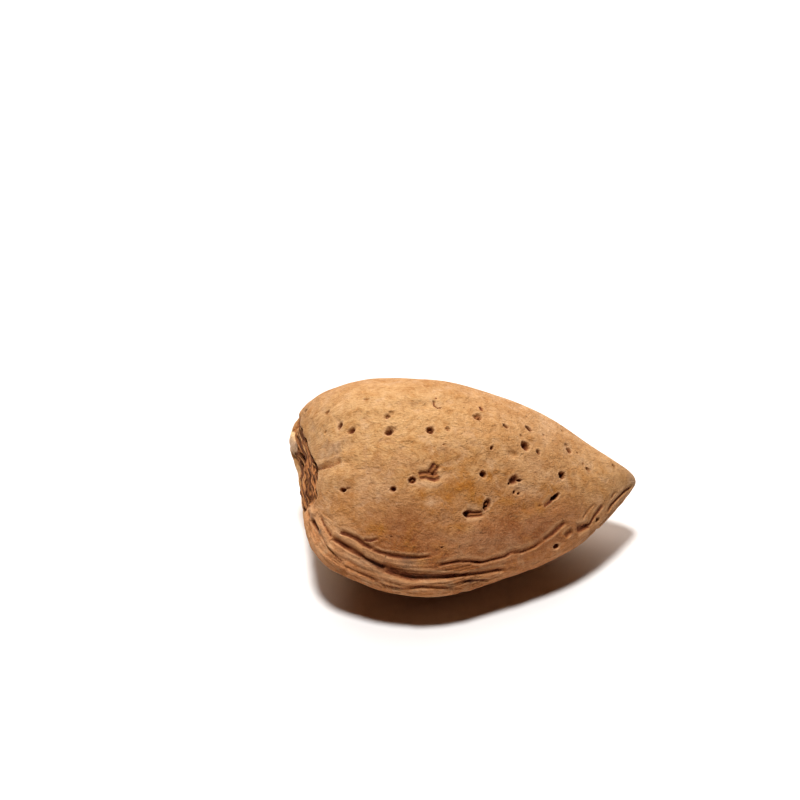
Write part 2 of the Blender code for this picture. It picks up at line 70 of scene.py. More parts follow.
# Body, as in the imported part
LENGTH = 36.0
TAPER = 0.36
STEM_SLANT = 0.42
STEM_SLANT_REACH = 2.4
STEM_TILT = 0.47
STEM_TILT_REACH = 2.6
STEM_TILT_LEVEL = -1.6
STEM_FADE = 9
FULLNESS_DEGREE = 6
Station = namedtuple("Station", "share back keel thick")
STATIONS = (
    Station(0.05, 6.2, 9.9, 4.0),
    Station(0.10, 7.6, 12.1, 5.6),
    Station(0.20, 8.4, 14.2, 7.5),
    Station(0.30, 8.5, 14.9, 8.4),
    Station(0.40, 8.4, 15.1, 8.7),
    Station(0.50, 8.1, 14.5, 8.4),
    Station(0.60, 7.2, 12.8, 7.6),
    Station(0.70, 6.0, 10.5, 6.4),
    Station(0.80, 4.6, 9.0, 4.9),
    Station(0.90, 2.5, 5.5, 3.0),
    Station(0.96, 1.2, 2.2, 1.7),
    Station(0.985, 0.8, 1.0, 1.1),
)

# How the nut lies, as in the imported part
LEAN = 18.0
PITCH = 6.0
PIVOT_SHARE = 0.45
FLAT_DEPTH = 0.35
SMOOTH_REACH = 4.6

# Reference view: pixels of an 800 px picture, whose centre is the camera's aim
PICTURE_SIDE = 800.0
PICTURE_MIDDLE = 400.0
PIVOT_RIGHT, PIVOT_DOWN = 447.0, 468.0
PIXELS_PER_MM = 9.6
VIEW_DISTANCE = 231.5
ELEVATION = 36.0

# Unevenness: a seed, the shortest and longest waves in mm, and how far they are drawn out along each axis
WAVES = 24
ALONG_FURROW = (3.0, 1.0, 1.0)
LUMPS = (SEED + 1, 5.0, 13.0)
GRAIN = (SEED + 2, 0.9, 2.6, (2.5, 1.0, 1.0))
FURROW_WIDTHS = (SEED + 3, 1.5, 4.0, ALONG_FURROW)
PIT_RIMS = (SEED + 4, 0.3, 1.1)
STRAND_BENDS = (SEED + 5, 7.0, 15.0)
SCAR_RIM = (SEED + 6, 0.6, 2.4)
SCAR_BENDS = (SEED + 7, 1.5, 5.0, (1.0, 4.0, 1.0))
FURROW_BEADS = (SEED + 8, 0.5, 1.6)
STRAND_PATCHES = (SEED + 9, 2.0, 6.0, ALONG_FURROW)
FRONT_PATCHES = (SEED + 10, 3.0, 8.0)
PATCH_RIMS = (SEED + 11, 0.8, 2.6)
FLAKE_RIM = (SEED + 12, 0.5, 2.0)
SCAR_LUMPS = (SEED + 13, 1.0, 3.0)
FIBRE_SEED = SEED + 20

# Relief: heights, depths and widths in mm, spacings and bands beside the keel in degrees round the axis
LUMP_HEIGHT = 0.07
GRAIN_HEIGHT = 0.018
KEEL_HEIGHT = 0.35
KEEL_WIDTH = 1.0
KEEL_SLIT_DEPTH = 0.45
KEEL_SLIT_WIDTH = 0.26
STRAND_HEIGHT = 0.06
STRAND_SPACING = 7.0
STRAND_BAND = 27.0
STRAND_WANDER = 2.2
FINE_STRAND_HEIGHT = 0.045
FINE_STRAND_SPACING = 2.6
SCAR_DEPTH = 0.66
SCAR_BACK_END, SCAR_KEEL_END = -4.9, 6.8
SCAR_REACH = 3.4
SCAR_LIP = 0.10
SCAR_FIBRE_HEIGHT = 0.08
SCAR_FIBRE_SPACING = 0.62
SCAR_FIBRE_WANDER = 0.12
SCAR_UNEVEN = 0.12
SCAR_RAGGED = 0.05
ScarEdge = namedtuple("ScarEdge", "y far near")
SCAR_EDGES = (
    ScarEdge(-4.9, -1.6, 1.6),
    ScarEdge(-3.0, -2.1, 1.5),
    ScarEdge(-1.3, -2.2, 1.5),
    ScarEdge(0.8, -2.3, 1.8),
    ScarEdge(2.6, -2.4, 2.3),
    ScarEdge(4.0, -2.4, 2.4),
    ScarEdge(5.2, -2.3, 2.3),
    ScarEdge(6.8, -2.0, 2.0),
)
FLAKE_HEIGHT = 0.56
FLAKE_BACK_END, FLAKE_KEEL_END = -4.2, -1.0
FLAKE_FAR_SIDE, FLAKE_NEAR_SIDE = -2.3, -0.4
FLAKE_TORN = 0.14
FLAKE_CLEARANCE = 0.2

# Profiles across a mark, in half-widths from its middle: the edge of a plateau and how steep it is, or the
# place of a bell curve and its width. A furrow's lower wall slopes, and nothing reaches past FAR.
FAR = 20.0
PIT_HOLE, PIT_DARK, PIT_WALL = (1, 6), (0.78, 8), (1.15, 8)
PIT_LIP, PIT_LIP_COLOUR, PIT_DISH, PIT_STUB = (1.45, 0.35), (1.5, 0.35), (0, 2.2), (0, 0.45)
STEEP_WALL, STEEP_DARK, STEEP_BROWN = (1, 6), (1, 8), (1.1, 8)
SLOPING_WALL, SLOPING_DARK, SLOPING_BROWN = (1, 2.8), (0.52, 5), (0.80, 4)
FURROW_LIP, FURROW_STUB = (1.8, 0.6), (0, 0.42)
SCAR_BED, SCAR_LIP_PLACE = (1, 11), (1.16, 0.14)
LIP_HEIGHT = 0.10  # of a mark's depth

# Pits: place in the reference view in pixels, sizes on the shell in mm, tilt in degrees from the horizontal.
# A cored pit is a ring round a stub of fibre. Pits go from pale to dark between the two tone depths.
PIT_TONE_DEPTHS = (0.08, 0.46)
PIT_LEVEL = 2.0
PIT_RAGGED = 0.08
PIT_SIZE = 0.88
Pit = namedtuple("Pit", "right down long wide deep tilt core", defaults=(0.0, 0.0))
PITS = (
    Pit(326, 412, 0.72, 0.42, 0.30, tilt=15),
    Pit(325, 432, 0.45, 0.32, 0.18, tilt=35),
    Pit(340, 426, 0.85, 0.50, 0.42, tilt=45),
    Pit(351, 431, 0.90, 0.60, 0.38, tilt=20),
    Pit(356, 427, 0.90, 0.60, 0.14, tilt=25),
    Pit(387, 416, 0.70, 0.52, 0.30, tilt=20),
    Pit(390, 414, 0.90, 0.55, 0.18, tilt=30),
    Pit(388, 432, 0.74, 0.64, 0.50),
    Pit(391, 430, 0.95, 0.80, 0.25, tilt=25),
    Pit(430, 430, 0.80, 0.74, 0.62, core=0.5),
    Pit(448, 429, 0.52, 0.48, 0.26),
    Pit(444, 445, 0.36, 0.24, 0.18),
    Pit(407, 419, 0.25, 0.20, 0.12),
    Pit(409, 444, 0.90, 0.60, 0.08),
    Pit(367, 400, 0.62, 0.26, 0.22),
    Pit(364, 392, 0.50, 0.25, 0.10),
    Pit(383, 382, 0.60, 0.40, 0.20),
    Pit(396, 381, 0.70, 0.40, 0.18),
    Pit(426, 387, 0.55, 0.30, 0.20, tilt=-15),
    Pit(394, 408, 0.70, 0.35, 0.08, tilt=15),
    Pit(418, 402, 1.30, 0.60, 0.09, tilt=15),
    Pit(478, 416, 0.95, 0.80, 0.36, tilt=60, core=0.8),
    Pit(480, 418, 0.32, 0.30, 0.22),
    Pit(506, 426, 0.66, 0.36, 0.40, tilt=-30),
    Pit(529, 428, 0.80, 0.50, 0.48, tilt=-35),
    Pit(522, 436, 0.42, 0.28, 0.20, tilt=-30),
    Pit(509, 441, 0.24, 0.20, 0.10),
    Pit(526, 446, 0.98, 0.80, 0.75, tilt=-35),
    Pit(539, 452, 0.52, 0.40, 0.38, tilt=-60),
    Pit(492, 448, 0.48, 0.36, 0.36, tilt=70),
    Pit(513, 453, 1.10, 0.60, 0.15),
    Pit(545, 435, 0.50, 0.28, 0.14, tilt=-70),
    Pit(564, 430, 0.40, 0.30, 0.20),
    Pit(570, 449, 0.72, 0.58, 0.50, tilt=-50),
    Pit(568, 445, 0.60, 0.35, 0.22, tilt=-60),
    Pit(579, 452, 0.26, 0.24, 0.15),
    Pit(585, 464, 0.42, 0.22, 0.18, tilt=-40),
    Pit(589, 469, 0.75, 0.38, 0.28, tilt=-25),
    Pit(614, 466, 0.48, 0.38, 0.30, tilt=-20),
    Pit(484, 474, 0.70, 0.60, 0.70, tilt=-60),
    Pit(563, 475, 0.86, 0.74, 0.75, tilt=50),
    Pit(514, 480, 1.10, 0.86, 0.42, tilt=50),
    Pit(520, 480, 0.50, 0.35, 0.40),
    Pit(510, 483, 0.34, 0.30, 0.36),
    Pit(515, 492, 0.42, 0.32, 0.40, tilt=80),
    Pit(520, 494, 0.38, 0.32, 0.38),
    Pit(519, 491, 0.90, 0.60, 0.14, tilt=-25),
    Pit(556, 497, 1.10, 0.48, 0.75, tilt=48),
    Pit(540, 506, 0.40, 0.30, 0.12),
    Pit(342, 490, 0.66, 0.48, 0.48),
    Pit(347, 489, 0.80, 0.32, 0.16, tilt=8),
    Pit(393, 489, 0.62, 0.52, 0.50),
    Pit(412, 480, 0.70, 0.68, 0.58, core=0.7),
    Pit(488, 504, 1.00, 0.72, 0.60, tilt=75, core=0.8),
    Pit(467, 514, 0.66, 0.62, 0.60, core=0.4),
    Pit(556, 546, 0.64, 0.52, 0.60, tilt=35),
    Pit(442, 548, 0.22, 0.20, 0.25),
    Pit(391, 537, 0.22, 0.20, 0.15),
    Pit(598, 520, 0.60, 0.40, 0.45, tilt=55),
    Pit(305, 410, 0.60, 0.40, 0.30, tilt=-30),
    Pit(301, 438, 0.60, 0.50, 0.50, tilt=70),
    Pit(297, 457, 1.20, 0.60, 0.60, tilt=80),
    Pit(297, 466, 0.90, 0.40, 0.40, tilt=80),
    Pit(313, 467, 1.20, 0.60, 0.50, tilt=-60),
    Pit(304, 483, 0.60, 0.40, 0.40, tilt=60),
    Pit(307, 507, 0.60, 0.40, 0.35),
)

# Furrows: a path of (right, down) pixels in the reference view, and the width and depth on the shell in mm.
# Tone is how dark the bottom is, core is how much of a fibre lies in it, and slope is the reach of the lower
# wall in widths, where the upper one has UPPER_WALL.
FURROW_WANDER = 0.22
UPPER_WALL = 0.38
FURROW_DEPTH = 0.72
Furrow = namedtuple("Furrow", "path wide deep tone core slope", defaults=(1.0, 0.0, 0.80))
FURROWS = (
    Furrow(((339, 532), (348, 535), (356, 539), (364, 545), (373, 550)), 0.30, 0.40),
    Furrow(((370, 549), (380, 553), (391, 556), (406, 558), (419, 558), (432, 557)), 0.34, 0.38, tone=0.90),
    Furrow(((363, 540), (370, 541), (378, 539)), 0.24, 0.22, tone=0.90),
    Furrow(((319, 516), (323, 524), (327, 531), (332, 538)), 0.26, 0.24, tone=0.60),
    Furrow(((332, 539), (340, 544), (347, 548), (355, 553), (364, 558)), 0.42, 0.55),
    Furrow(((360, 557), (369, 561), (376, 565), (384, 569)), 0.42, 0.55),
    Furrow(((380, 567), (388, 571), (400, 576), (413, 578), (426, 578), (443, 577), (460, 576)), 0.62, 0.60),
    Furrow(((452, 576), (463, 575), (480, 573), (492, 571), (505, 569)), 0.40, 0.36, tone=0.75),
    Furrow(((437, 566), (447, 564), (459, 562), (470, 562), (482, 563)), 0.46, 0.40, tone=0.80),
    Furrow(
        ((470, 563), (480, 563), (492, 560), (505, 557), (511, 553), (521, 552), (534, 547), (545, 540)),
        0.30, 0.28, tone=0.70,
    ),
    Furrow(((543, 541), (550, 536), (555, 532), (560, 527), (567, 522)), 0.30, 0.28, tone=0.80),
    Furrow(((321, 535), (328, 547), (337, 557), (346, 564)), 0.40, 0.26, tone=0.55),
    Furrow(
        ((354, 570), (363, 574), (371, 577), (386, 584), (400, 587), (421, 586), (442, 586), (460, 586)),
        0.30, 0.26, tone=0.55,
    ),
    Furrow(((330, 553), (339, 561), (347, 567), (356, 572)), 0.24, 0.12, tone=0.45),
    Furrow(((373, 586), (388, 589), (402, 591)), 0.26, 0.12, tone=0.30),
    Furrow(((461, 581), (476, 579), (489, 578)), 0.22, 0.26, tone=0.90),
    Furrow(((450, 590), (467, 589)), 0.30, 0.12, tone=0.40),
    Furrow(((322, 513), (328, 517), (334, 520)), 0.30, 0.12, tone=0.25),
    Furrow(((311, 520), (314, 525), (319, 532)), 0.28, 0.44),
    Furrow(((577, 531), (583, 529), (590, 526)), 0.60, 0.42),
    Furrow(((586, 528), (591, 524), (595, 517), (600, 510), (604, 504)), 0.26, 0.22, tone=0.80),
    Furrow(((583, 520), (586, 515), (590, 509), (595, 504)), 0.20, 0.14, tone=0.50),
    Furrow(((607, 513), (612, 505), (618, 498), (625, 491), (631, 486)), 0.30, 0.28, tone=0.80),
    Furrow(((611, 499), (615, 492)), 0.22, 0.16, tone=0.60),
    Furrow(((566, 538), (569, 534), (573, 532)), 0.30, 0.30, tone=0.80),
    Furrow(((315, 469), (324, 467), (331, 465), (340, 461)), 0.50, 0.55, tone=0.50),
    Furrow(((336, 463), (343, 461), (350, 462), (358, 463)), 0.42, 0.16, tone=0.20),
    Furrow(((418, 476), (425, 475), (434, 477), (440, 475)), 0.90, 0.48, core=0.55, slope=0.42),
    Furrow(((430, 474), (433, 469), (437, 464)), 0.84, 0.44, core=0.55, slope=0.42),
    Furrow(((466, 514), (474, 515), (484, 514)), 0.88, 0.48, core=0.45, slope=0.42),
    Furrow(((487, 511), (486, 508), (487, 505)), 0.35, 0.30, slope=0.42),
    Furrow(((433, 400), (434, 405), (438, 407), (442, 407)), 0.28, 0.24),
    Furrow(((434, 398), (438, 398)), 0.22, 0.14),
    Furrow(((480, 405), (482, 408), (483, 410)), 0.26, 0.18),
    Furrow(((544, 507), (551, 502), (555, 498)), 0.35, 0.12),
    Furrow(((556, 424), (561, 428)), 0.30, 0.14),
    # Along the scar's near edge: partly a groove, partly painted shadow under the overhanging ledge.
    Furrow(((313, 462), (314, 470), (315, 480), (314, 490), (313, 500)), 0.60, 0.50),
)

# Ridges beside the furrows, in the same way
Ridge = namedtuple("Ridge", "path wide tall")
RIDGES = (
    Ridge(((308, 509), (312, 510), (316, 515)), 0.8, 0.45),
    Ridge(((313, 513), (320, 528), (327, 541), (336, 554), (347, 566)), 0.7, 0.20),
    Ridge(((305, 516), (308, 530), (314, 542), (323, 555), (337, 568)), 1.1, 0.12),
    Ridge(((325, 520), (333, 531), (346, 541), (360, 549), (378, 558), (398, 564)), 0.7, 0.07),
    Ridge(((335, 545), (352, 558), (368, 567), (385, 575), (405, 582), (430, 582)), 0.5, 0.10),
    Ridge(((366, 549), (385, 558), (405, 564), (430, 563)), 0.7, 0.08),
)

# Broad dents, and swellings where deep is negative: place in the reference view, half-sizes and depth in mm
Dent = namedtuple("Dent", "right down long wide deep tilt", defaults=(0.0,))
DENTS = (
    Dent(328, 457, 2.2, 0.8, 0.30, tilt=12),
    Dent(330, 477, 2.0, 0.8, -0.22, tilt=5),
    Dent(352, 466, 1.8, 0.7, 0.10),
    Dent(345, 492, 1.6, 0.5, 0.10, tilt=8),
    Dent(513, 453, 0.9, 0.5, 0.12),
    Dent(530, 507, 1.5, 0.6, 0.14, tilt=25),
    Dent(516, 488, 1.3, 0.8, 0.12),
    Dent(437, 482, 1.4, 0.5, -0.10),
    Dent(430, 470, 1.5, 0.9, 0.12),
    Dent(478, 511, 1.7, 0.8, 0.16),
    Dent(390, 425, 1.0, 1.3, 0.10),
    Dent(352, 428, 1.3, 0.8, 0.10, tilt=20),
    Dent(556, 498, 1.0, 0.8, 0.12, tilt=45),
    Dent(470, 446, 2.2, 1.4, -0.12),
    Dent(400, 500, 2.6, 1.4, -0.10),
    Dent(425, 405, 1.2, 0.5, 0.10, tilt=15),
    Dent(545, 425, 2.0, 1.2, 0.12, tilt=20),
    Dent(580, 487, 1.6, 1.2, -0.08),
)

# Zones of the skin: redder beside the keel; browner above that, partly the skin's own brown and partly
# painted shade where less light falls; and paler on the upper cheek and at the tip, which is painted light
KEEL_BAND = 38.0
FRONT_ANGLES = (13.0, 62.0)
FRONT_SHARES = (0.17, 0.93)
PAINTED_LIGHT_ANGLES = (74.0, 128.0)
PAINTED_LIGHT_SHARES = (0.04, 0.50)
PAINTED_LIGHT_TIP = (0.84, 1.1)

# Hidden sides: the same kinds of mark, by a seeded rule
HIDDEN_PITS = 46
HIDDEN_PIT_WIDE = (0.35, 1.0)
HIDDEN_PIT_ANGLES = (186.0, 338.0)
HIDDEN_PIT_SHARES = (0.10, 0.94)
HIDDEN_PIT_GAP = 1.9
HIDDEN_FURROWS = 7
HIDDEN_FURROW_ANGLES = (336.0, 308.0)
HIDDEN_FURROW_WIDE = (0.5, 1.0)
HIDDEN_FURROW_DEEP = (0.3, 0.7)

# Stains, and patches of painted shade: place in the reference view in pixels, half-sizes on the shell in mm,
# and strength from 0 to 1
Patch = namedtuple("Patch", "right down long wide strength tilt", defaults=(0.0,))
OCHRE_STAINS = (
    Patch(352, 426, 2.0, 0.9, 0.35, tilt=10),
    Patch(337, 471, 0.7, 0.4, 0.30),
    Patch(373, 530, 1.5, 0.5, 0.75, tilt=-5),
    Patch(426, 496, 0.8, 0.7, 0.80),
    Patch(441, 500, 0.8, 0.6, 0.70),
    Patch(424, 508, 1.0, 0.3, 0.50),
    Patch(451, 527, 0.9, 0.6, 0.75),
    Patch(434, 525, 1.2, 0.5, 0.35),
    Patch(420, 562, 0.7, 0.6, 0.90),
    Patch(457, 487, 2.0, 1.6, 0.80),
    Patch(450, 462, 2.4, 1.4, 0.45),
    Patch(493, 476, 1.6, 0.5, 0.80, tilt=15),
    Patch(478, 500, 1.1, 1.2, 0.75),
    Patch(505, 499, 1.6, 0.7, 0.60),
    Patch(459, 528, 0.8, 0.5, 0.90),
    Patch(515, 518, 0.9, 0.5, 0.55),
    Patch(551, 489, 1.2, 0.8, 0.80),
    Patch(543, 463, 1.4, 1.0, 0.15),
    Patch(540, 510, 1.4, 0.7, 0.40),
    Patch(533, 443, 1.0, 0.8, 0.35),
    Patch(592, 480, 1.6, 1.4, 0.40),
    Patch(495, 433, 2.0, 1.0, 0.25),
    Patch(435, 450, 1.6, 0.8, 0.35),
    Patch(400, 545, 2.0, 0.7, 0.30),
)
# Painted shade: darker, duller patches in the crease below the scar, across the middle of the cheek and low
# on the front, partly duller skin too.
PAINTED_SHADE_PATCHES = (
    Patch(465, 487, 6.5, 2.4, 0.90),
    Patch(458, 462, 3.6, 1.6, 0.85),
    Patch(412, 464, 6.0, 1.9, 1.00),
    Patch(328, 461, 1.8, 0.6, 0.90, tilt=10),
    Patch(410, 500, 4.0, 1.5, 0.50),
    Patch(520, 500, 5.0, 1.4, 0.60, tilt=15),
    Patch(327, 507, 2.2, 1.5, 0.95),
    Patch(400, 561, 5.5, 1.4, 1.00),
    Patch(345, 545, 2.6, 0.9, 0.90, tilt=-35),
    Patch(510, 545, 3.5, 1.0, 0.50, tilt=15),
)
BLOOM_PATCHES = (
    Patch(330, 450, 2.0, 0.7, 0.80, tilt=5),
    Patch(372, 484, 2.2, 1.2, 0.45),
    Patch(425, 484, 1.2, 0.3, 0.70),
    Patch(429, 503, 0.5, 0.35, 1.00),
    Patch(447, 447, 1.2, 0.7, 0.40),
    Patch(440, 478, 0.8, 0.4, 0.60),
    Patch(522, 487, 1.0, 0.6, 0.55),
    Patch(548, 428, 1.8, 1.6, 0.50),
    Patch(480, 541, 4.5, 1.3, 0.35),
    Patch(530, 525, 3.0, 1.0, 0.30, tilt=20),
    Patch(631, 480, 0.5, 0.5, 1.00),
    Patch(400, 460, 2.6, 1.0, 0.30),
    Patch(540, 468, 1.8, 1.2, 0.40),
    Patch(313, 515, 1.0, 0.6, 0.55),
    Patch(345, 555, 2.4, 0.5, 0.40, tilt=-40),
)
# Grey-brown darkening at listed places, in and beside pits, furrows and the scar.
DARKENING_MARKS = (
    Patch(418, 402, 1.0, 0.25, 0.35, tilt=12),
    Patch(408, 563, 0.7, 0.5, 0.45),
    Patch(374, 565, 0.9, 0.4, 0.55, tilt=-30),
    Patch(425, 577, 0.8, 0.3, 0.80),
    Patch(468, 581, 1.4, 0.2, 0.60),
    Patch(631, 484, 0.6, 0.3, 0.20),
    Patch(320, 531, 0.6, 0.3, 0.80, tilt=-30),
    Patch(305, 410, 0.4, 0.3, 0.80),
    Patch(299, 418, 0.6, 0.3, 0.85, tilt=80),
    Patch(325, 445, 0.5, 0.2, 0.45),
    Patch(515, 517, 0.3, 0.2, 0.50),
    Patch(442, 449, 0.6, 0.2, 0.30),
)

# Per-point attributes that the skin's finish reads
PATCH_SETS = {"shade": PAINTED_SHADE_PATCHES, "ochre": OCHRE_STAINS, "bloom": BLOOM_PATCHES, "dirt": DARKENING_MARKS}
RELIEF_FINISHES = ("dark", "wall", "lip", "stub", "band", "front", "pale", "scar_bed", "flake")

# Loose fibres in the stem scar, in mm
FIBRES = 190
FIBRE_NODES = 13
FIBRE_SIDES = 6
FIBRE_RADII = (0.03, 0.09)
FIBRE_LENGTHS = (1.6, 6.5)
FIBRE_WAVE = 0.06

# Skin: sizes of its noises and heights of its bumps, in mm
BROAD_SIZE, PATCH_SIZE, LUMP_SIZE, FELT_SIZE, SPECK_SIZE = 5.0, 1.5, 0.85, 0.30, 0.15
PATCH_HEIGHT, SKIN_LUMP_HEIGHT = 0.36, 0.20

# Lights
Direction = namedtuple("Direction", "azimuth elevation width colour")
KEY_DIRECTION = Direction(azimuth=185.0, elevation=85.0, width=12.0, colour=(1.0, 0.995, 0.985))
BACK_DIRECTION = Direction(azimuth=90.0, elevation=45.0, width=65.0, colour=(1.0, 0.885, 0.80))

# Grid of the shell, and what it is thinned to
RINGS = 640
AROUND = 780
SEEN_CLOSENESS = 1.6  # how much closer the points are round the seen side
SEEN_MIDDLE, SEEN_HALF = 69.0, 100.0
TRIANGLES = 190_000
WIDEST_SHARE = 0.38


def half_size(field, share):
    """Half-size in mm: an ellipse times a smooth curve through the stations' fullness."""

    def ellipse(at):
        return 2 * np.sqrt(np.clip(at * (1 - at), 0, None))

    places = np.array([station.share for station in STATIONS])
    sizes = np.array([getattr(station, field) for station in STATIONS])
    fullness = np.polyfit(places, sizes / ellipse(places), FULLNESS_DEGREE)
    return ellipse(share) * np.polyval(fullness, share)


def body(share, angle):
    """Points of the smooth body: x toward the tip, y toward the keel, z toward the upper cheek."""
    back, keel, thick = (half_size(field, share) for field in ("back", "keel", "thick"))
    cosine, sine = np.cos(angle), np.sin(angle)
    y = (keel - back) / 2 + (keel + back) / 2 * cosine
    z = thick * sine * (1 - TAPER * cosine)
    slant = STEM_SLANT * STEM_SLANT_REACH * np.tanh(z / STEM_SLANT_REACH)
    tilt = STEM_TILT * STEM_TILT_REACH * np.tanh((y - STEM_TILT_LEVEL) / STEM_TILT_REACH)
    x = LENGTH * share + (slant + tilt) * (1 - share) ** STEM_FADE
    return np.stack(np.broadcast_arrays(x, y, z), axis=-1)


def unit(vectors):
    """The vectors at length 1."""
    return vectors / np.maximum(np.linalg.norm(vectors, axis=-1, keepdims=True), 1e-12)


def body_normal(share, angle):
    """Outward normals, from small steps along and round the body."""
    step = 1e-4
    ahead, behind = np.clip(share + step, step, 1 - step), np.clip(share - step, step, 1 - step)
    along = body(np.maximum(ahead, behind + step), angle) - body(behind, angle)
    inner = np.clip(share, step, 1 - step)
    around = body(inner, angle + step) - body(inner, angle - step)
    return unit(np.cross(around, along))


def posed(points):
    """Body points turned to the way the nut lies: X to the right, Y away from the viewer, Z up."""
    lean, pitch = np.radians(LEAN), np.radians(PITCH)
    along, keelward, cheekward = points[..., 0] - PIVOT_SHARE * LENGTH, points[..., 1], points[..., 2]
    y = -keelward * np.cos(lean) - cheekward * np.sin(lean)
    rise = -keelward * np.sin(lean) + cheekward * np.cos(lean)
    x = along * np.cos(pitch) + rise * np.sin(pitch)
    z = rise * np.cos(pitch) - along * np.sin(pitch)
    return np.stack([x, y, z], axis=-1)


def view_axes():
    """The reference view's right, up and toward-the-viewer directions."""
    rise = np.radians(ELEVATION)
    right = np.array([1.0, 0.0, 0.0])
    up = np.array([0.0, np.sin(rise), np.cos(rise)])
    toward = np.array([0.0, -np.cos(rise), np.sin(rise)])
    return right, up, toward


def in_picture(points):
    """Pixel places (right, down) of posed points in the reference view."""
    right, up, toward = view_axes()
    scale = PIXELS_PER_MM * VIEW_DISTANCE / (VIEW_DISTANCE - points @ toward)
    across = points @ right + (PIVOT_RIGHT - PICTURE_MIDDLE) / PIXELS_PER_MM
    above = points @ up - (PIVOT_DOWN - PICTURE_MIDDLE) / PIXELS_PER_MM
    return PICTURE_MIDDLE + scale * across, PICTURE_MIDDLE - scale * above


def round_angles():
    """Angles in radians: even steps along the widest section, closer together on the seen side."""
    fine = np.linspace(0, 2 * np.pi, 3601)
    steps = np.linalg.norm(np.diff(body(np.array(WIDEST_SHARE), fine), axis=0), axis=1)
    middles = (fine[1:] + fine[:-1]) / 2
    inside = np.cos(middles - np.radians(SEEN_MIDDLE)) - np.cos(np.radians(SEEN_HALF))
    closeness = 1 + (SEEN_CLOSENESS - 1) * (1 + np.tanh(4 * inside)) / 2
    total = np.concatenate([[0], np.cumsum(steps * closeness)])
    return np.interp(np.arange(AROUND) / AROUND * total[-1], total, fine)


def grid():
    """Shares and angles of the rings between the two ends, the rings closest together at the ends."""
    share = (1 - np.cos(np.pi * np.arange(1, RINGS) / RINGS)) / 2
    return np.meshgrid(share, round_angles(), indexing="ij")


class Surface:
    """The smooth body on a grid, with what the marks need to find their places on it."""

    def __init__(self, share, angle):
        self.share, self.angle = share.ravel(), angle.ravel()
        self.points = body(self.share, self.angle)
        self.normals = body_normal(self.share, self.angle)
        turned = posed(self.points)
        self.right, self.down = in_picture(turned)
        toward = view_axes()[2]
        facing = posed(self.points + self.normals) - turned
        self.seen = facing @ toward > 0

    def at_pixel(self, right, down):
        """Index of the seen grid point nearest a place in the reference view."""
        away = np.hypot(self.right - right, self.down - down)
        return int(np.argmin(np.where(self.seen, away, np.inf)))

    def at_angle(self, share, degrees):
        """Index of the grid point nearest a share and an angle."""
        place = body(np.array(share), np.radians(degrees))
        return int(np.argmin(np.linalg.norm(self.points - place, axis=1)))

    def degrees_from_keel(self):
        """Angle from the keel in degrees, from -180 to 180 and positive on the upper cheek."""
        return np.degrees((self.angle + np.pi) % (2 * np.pi) - np.pi)

    def near(self, places, reach):
        """Indexes of the points within a box round some places."""
        places = np.atleast_2d(places)
        low, high = places.min(axis=0) - reach, places.max(axis=0) + reach
        return np.flatnonzero(np.all((self.points > low) & (self.points < high), axis=1))

    def in_ellipse(self, index, mark, reach):
        """Points near one: indexes, how far out they are in a mark's half-sizes, and mm off its plane."""
        normal, tilt = self.normals[index], np.radians(mark.tilt)
        length = np.array([np.cos(tilt), -np.sin(tilt), 0.0])
        first = unit(length - normal * (length @ normal))
        second = np.cross(normal, first)
        near = self.near(self.points[index], reach)
        offset = self.points[near] - self.points[index]
        out = np.hypot(offset @ first / mark.long, offset @ second / mark.wide)
        return near, out, np.abs(offset @ normal)

    def along(self, path, reach):
        """Indexes of the points near a path on the surface, and what distance_to_path says of them."""
        near = self.near(path, reach)
        return near, *distance_to_path(self.points[near], self.normals[near], path)

    def path_at(self, pixels):
        """Points on the surface at places in the reference view."""
        return self.points[[self.at_pixel(*place) for place in pixels]]


def waves(points, seed, shortest, longest, stretch=(1.0, 1.0, 1.0)):
    """Smooth unevenness of unit size: a sum of plane waves in seeded directions, drawn out by stretch."""
    rng = np.random.default_rng(seed)
    directions = unit(rng.normal(size=(WAVES, 3))) / np.array(stretch)
    lengths = rng.uniform(shortest, longest, WAVES)
    phases = rng.uniform(0, 2 * np.pi, WAVES)
    total = np.zeros(len(points))
    for direction, wavelength, phase in zip(directions, lengths, phases):
        total += np.sin(points @ direction * (2 * np.pi / wavelength) + phase)
    return total * np.sqrt(2 / WAVES)


def window(values, start, end, soft):
    """1 between start and end, falling smoothly to 0 over the soft width on each side."""
    return 1 / (1 + np.exp(-(values - start) / soft)) / (1 + np.exp((values - end) / soft))


def plateau(values, edge, steepness):
    """1 well inside the edge, a half at it, and 0 far outside."""
    return 1 / (1 + (values / edge) ** steepness)


def bell(values, middle, width):
    """1 at the middle, falling as a bell curve on each side."""
    return np.exp(-(((values - middle) / width) ** 2))


def distance_to_path(points, normals, path):
    """Each point's distance from a 3-D path, its nearest place along it, from 0 to 1, and its side.

    The side is true to the left of the path as it runs, seen from outside.
    """
    lengths = np.linalg.norm(np.diff(path, axis=0), axis=1)
    starts = np.concatenate([[0.0], np.cumsum(lengths)])
    nearest, place = np.full(len(points), np.inf), np.zeros(len(points))
    left = np.zeros(len(points), dtype=bool)
    for first, second, length, start in zip(path[:-1], path[1:], lengths, starts):
        part = np.clip((points - first) @ (second - first) / length**2, 0, 1)
        offset = points - first - part[:, None] * (second - first)
        away = np.linalg.norm(offset, axis=1)
        closer = away < nearest
        nearest[closer] = away[closer]
        place[closer] = ((start + part * length) / starts[-1])[closer]
        across = np.sum(np.cross(normals, second - first) * offset, axis=1) > 0
        left[closer] = across[closer]
    return nearest, place, left


def scar_edges(y):
    """Where the scar's far and near edges stand, at a distance toward the keel."""
    table = np.array(SCAR_EDGES)
    return np.interp(y, table[:, 0], table[:, 1]), np.interp(y, table[:, 0], table[:, 2])


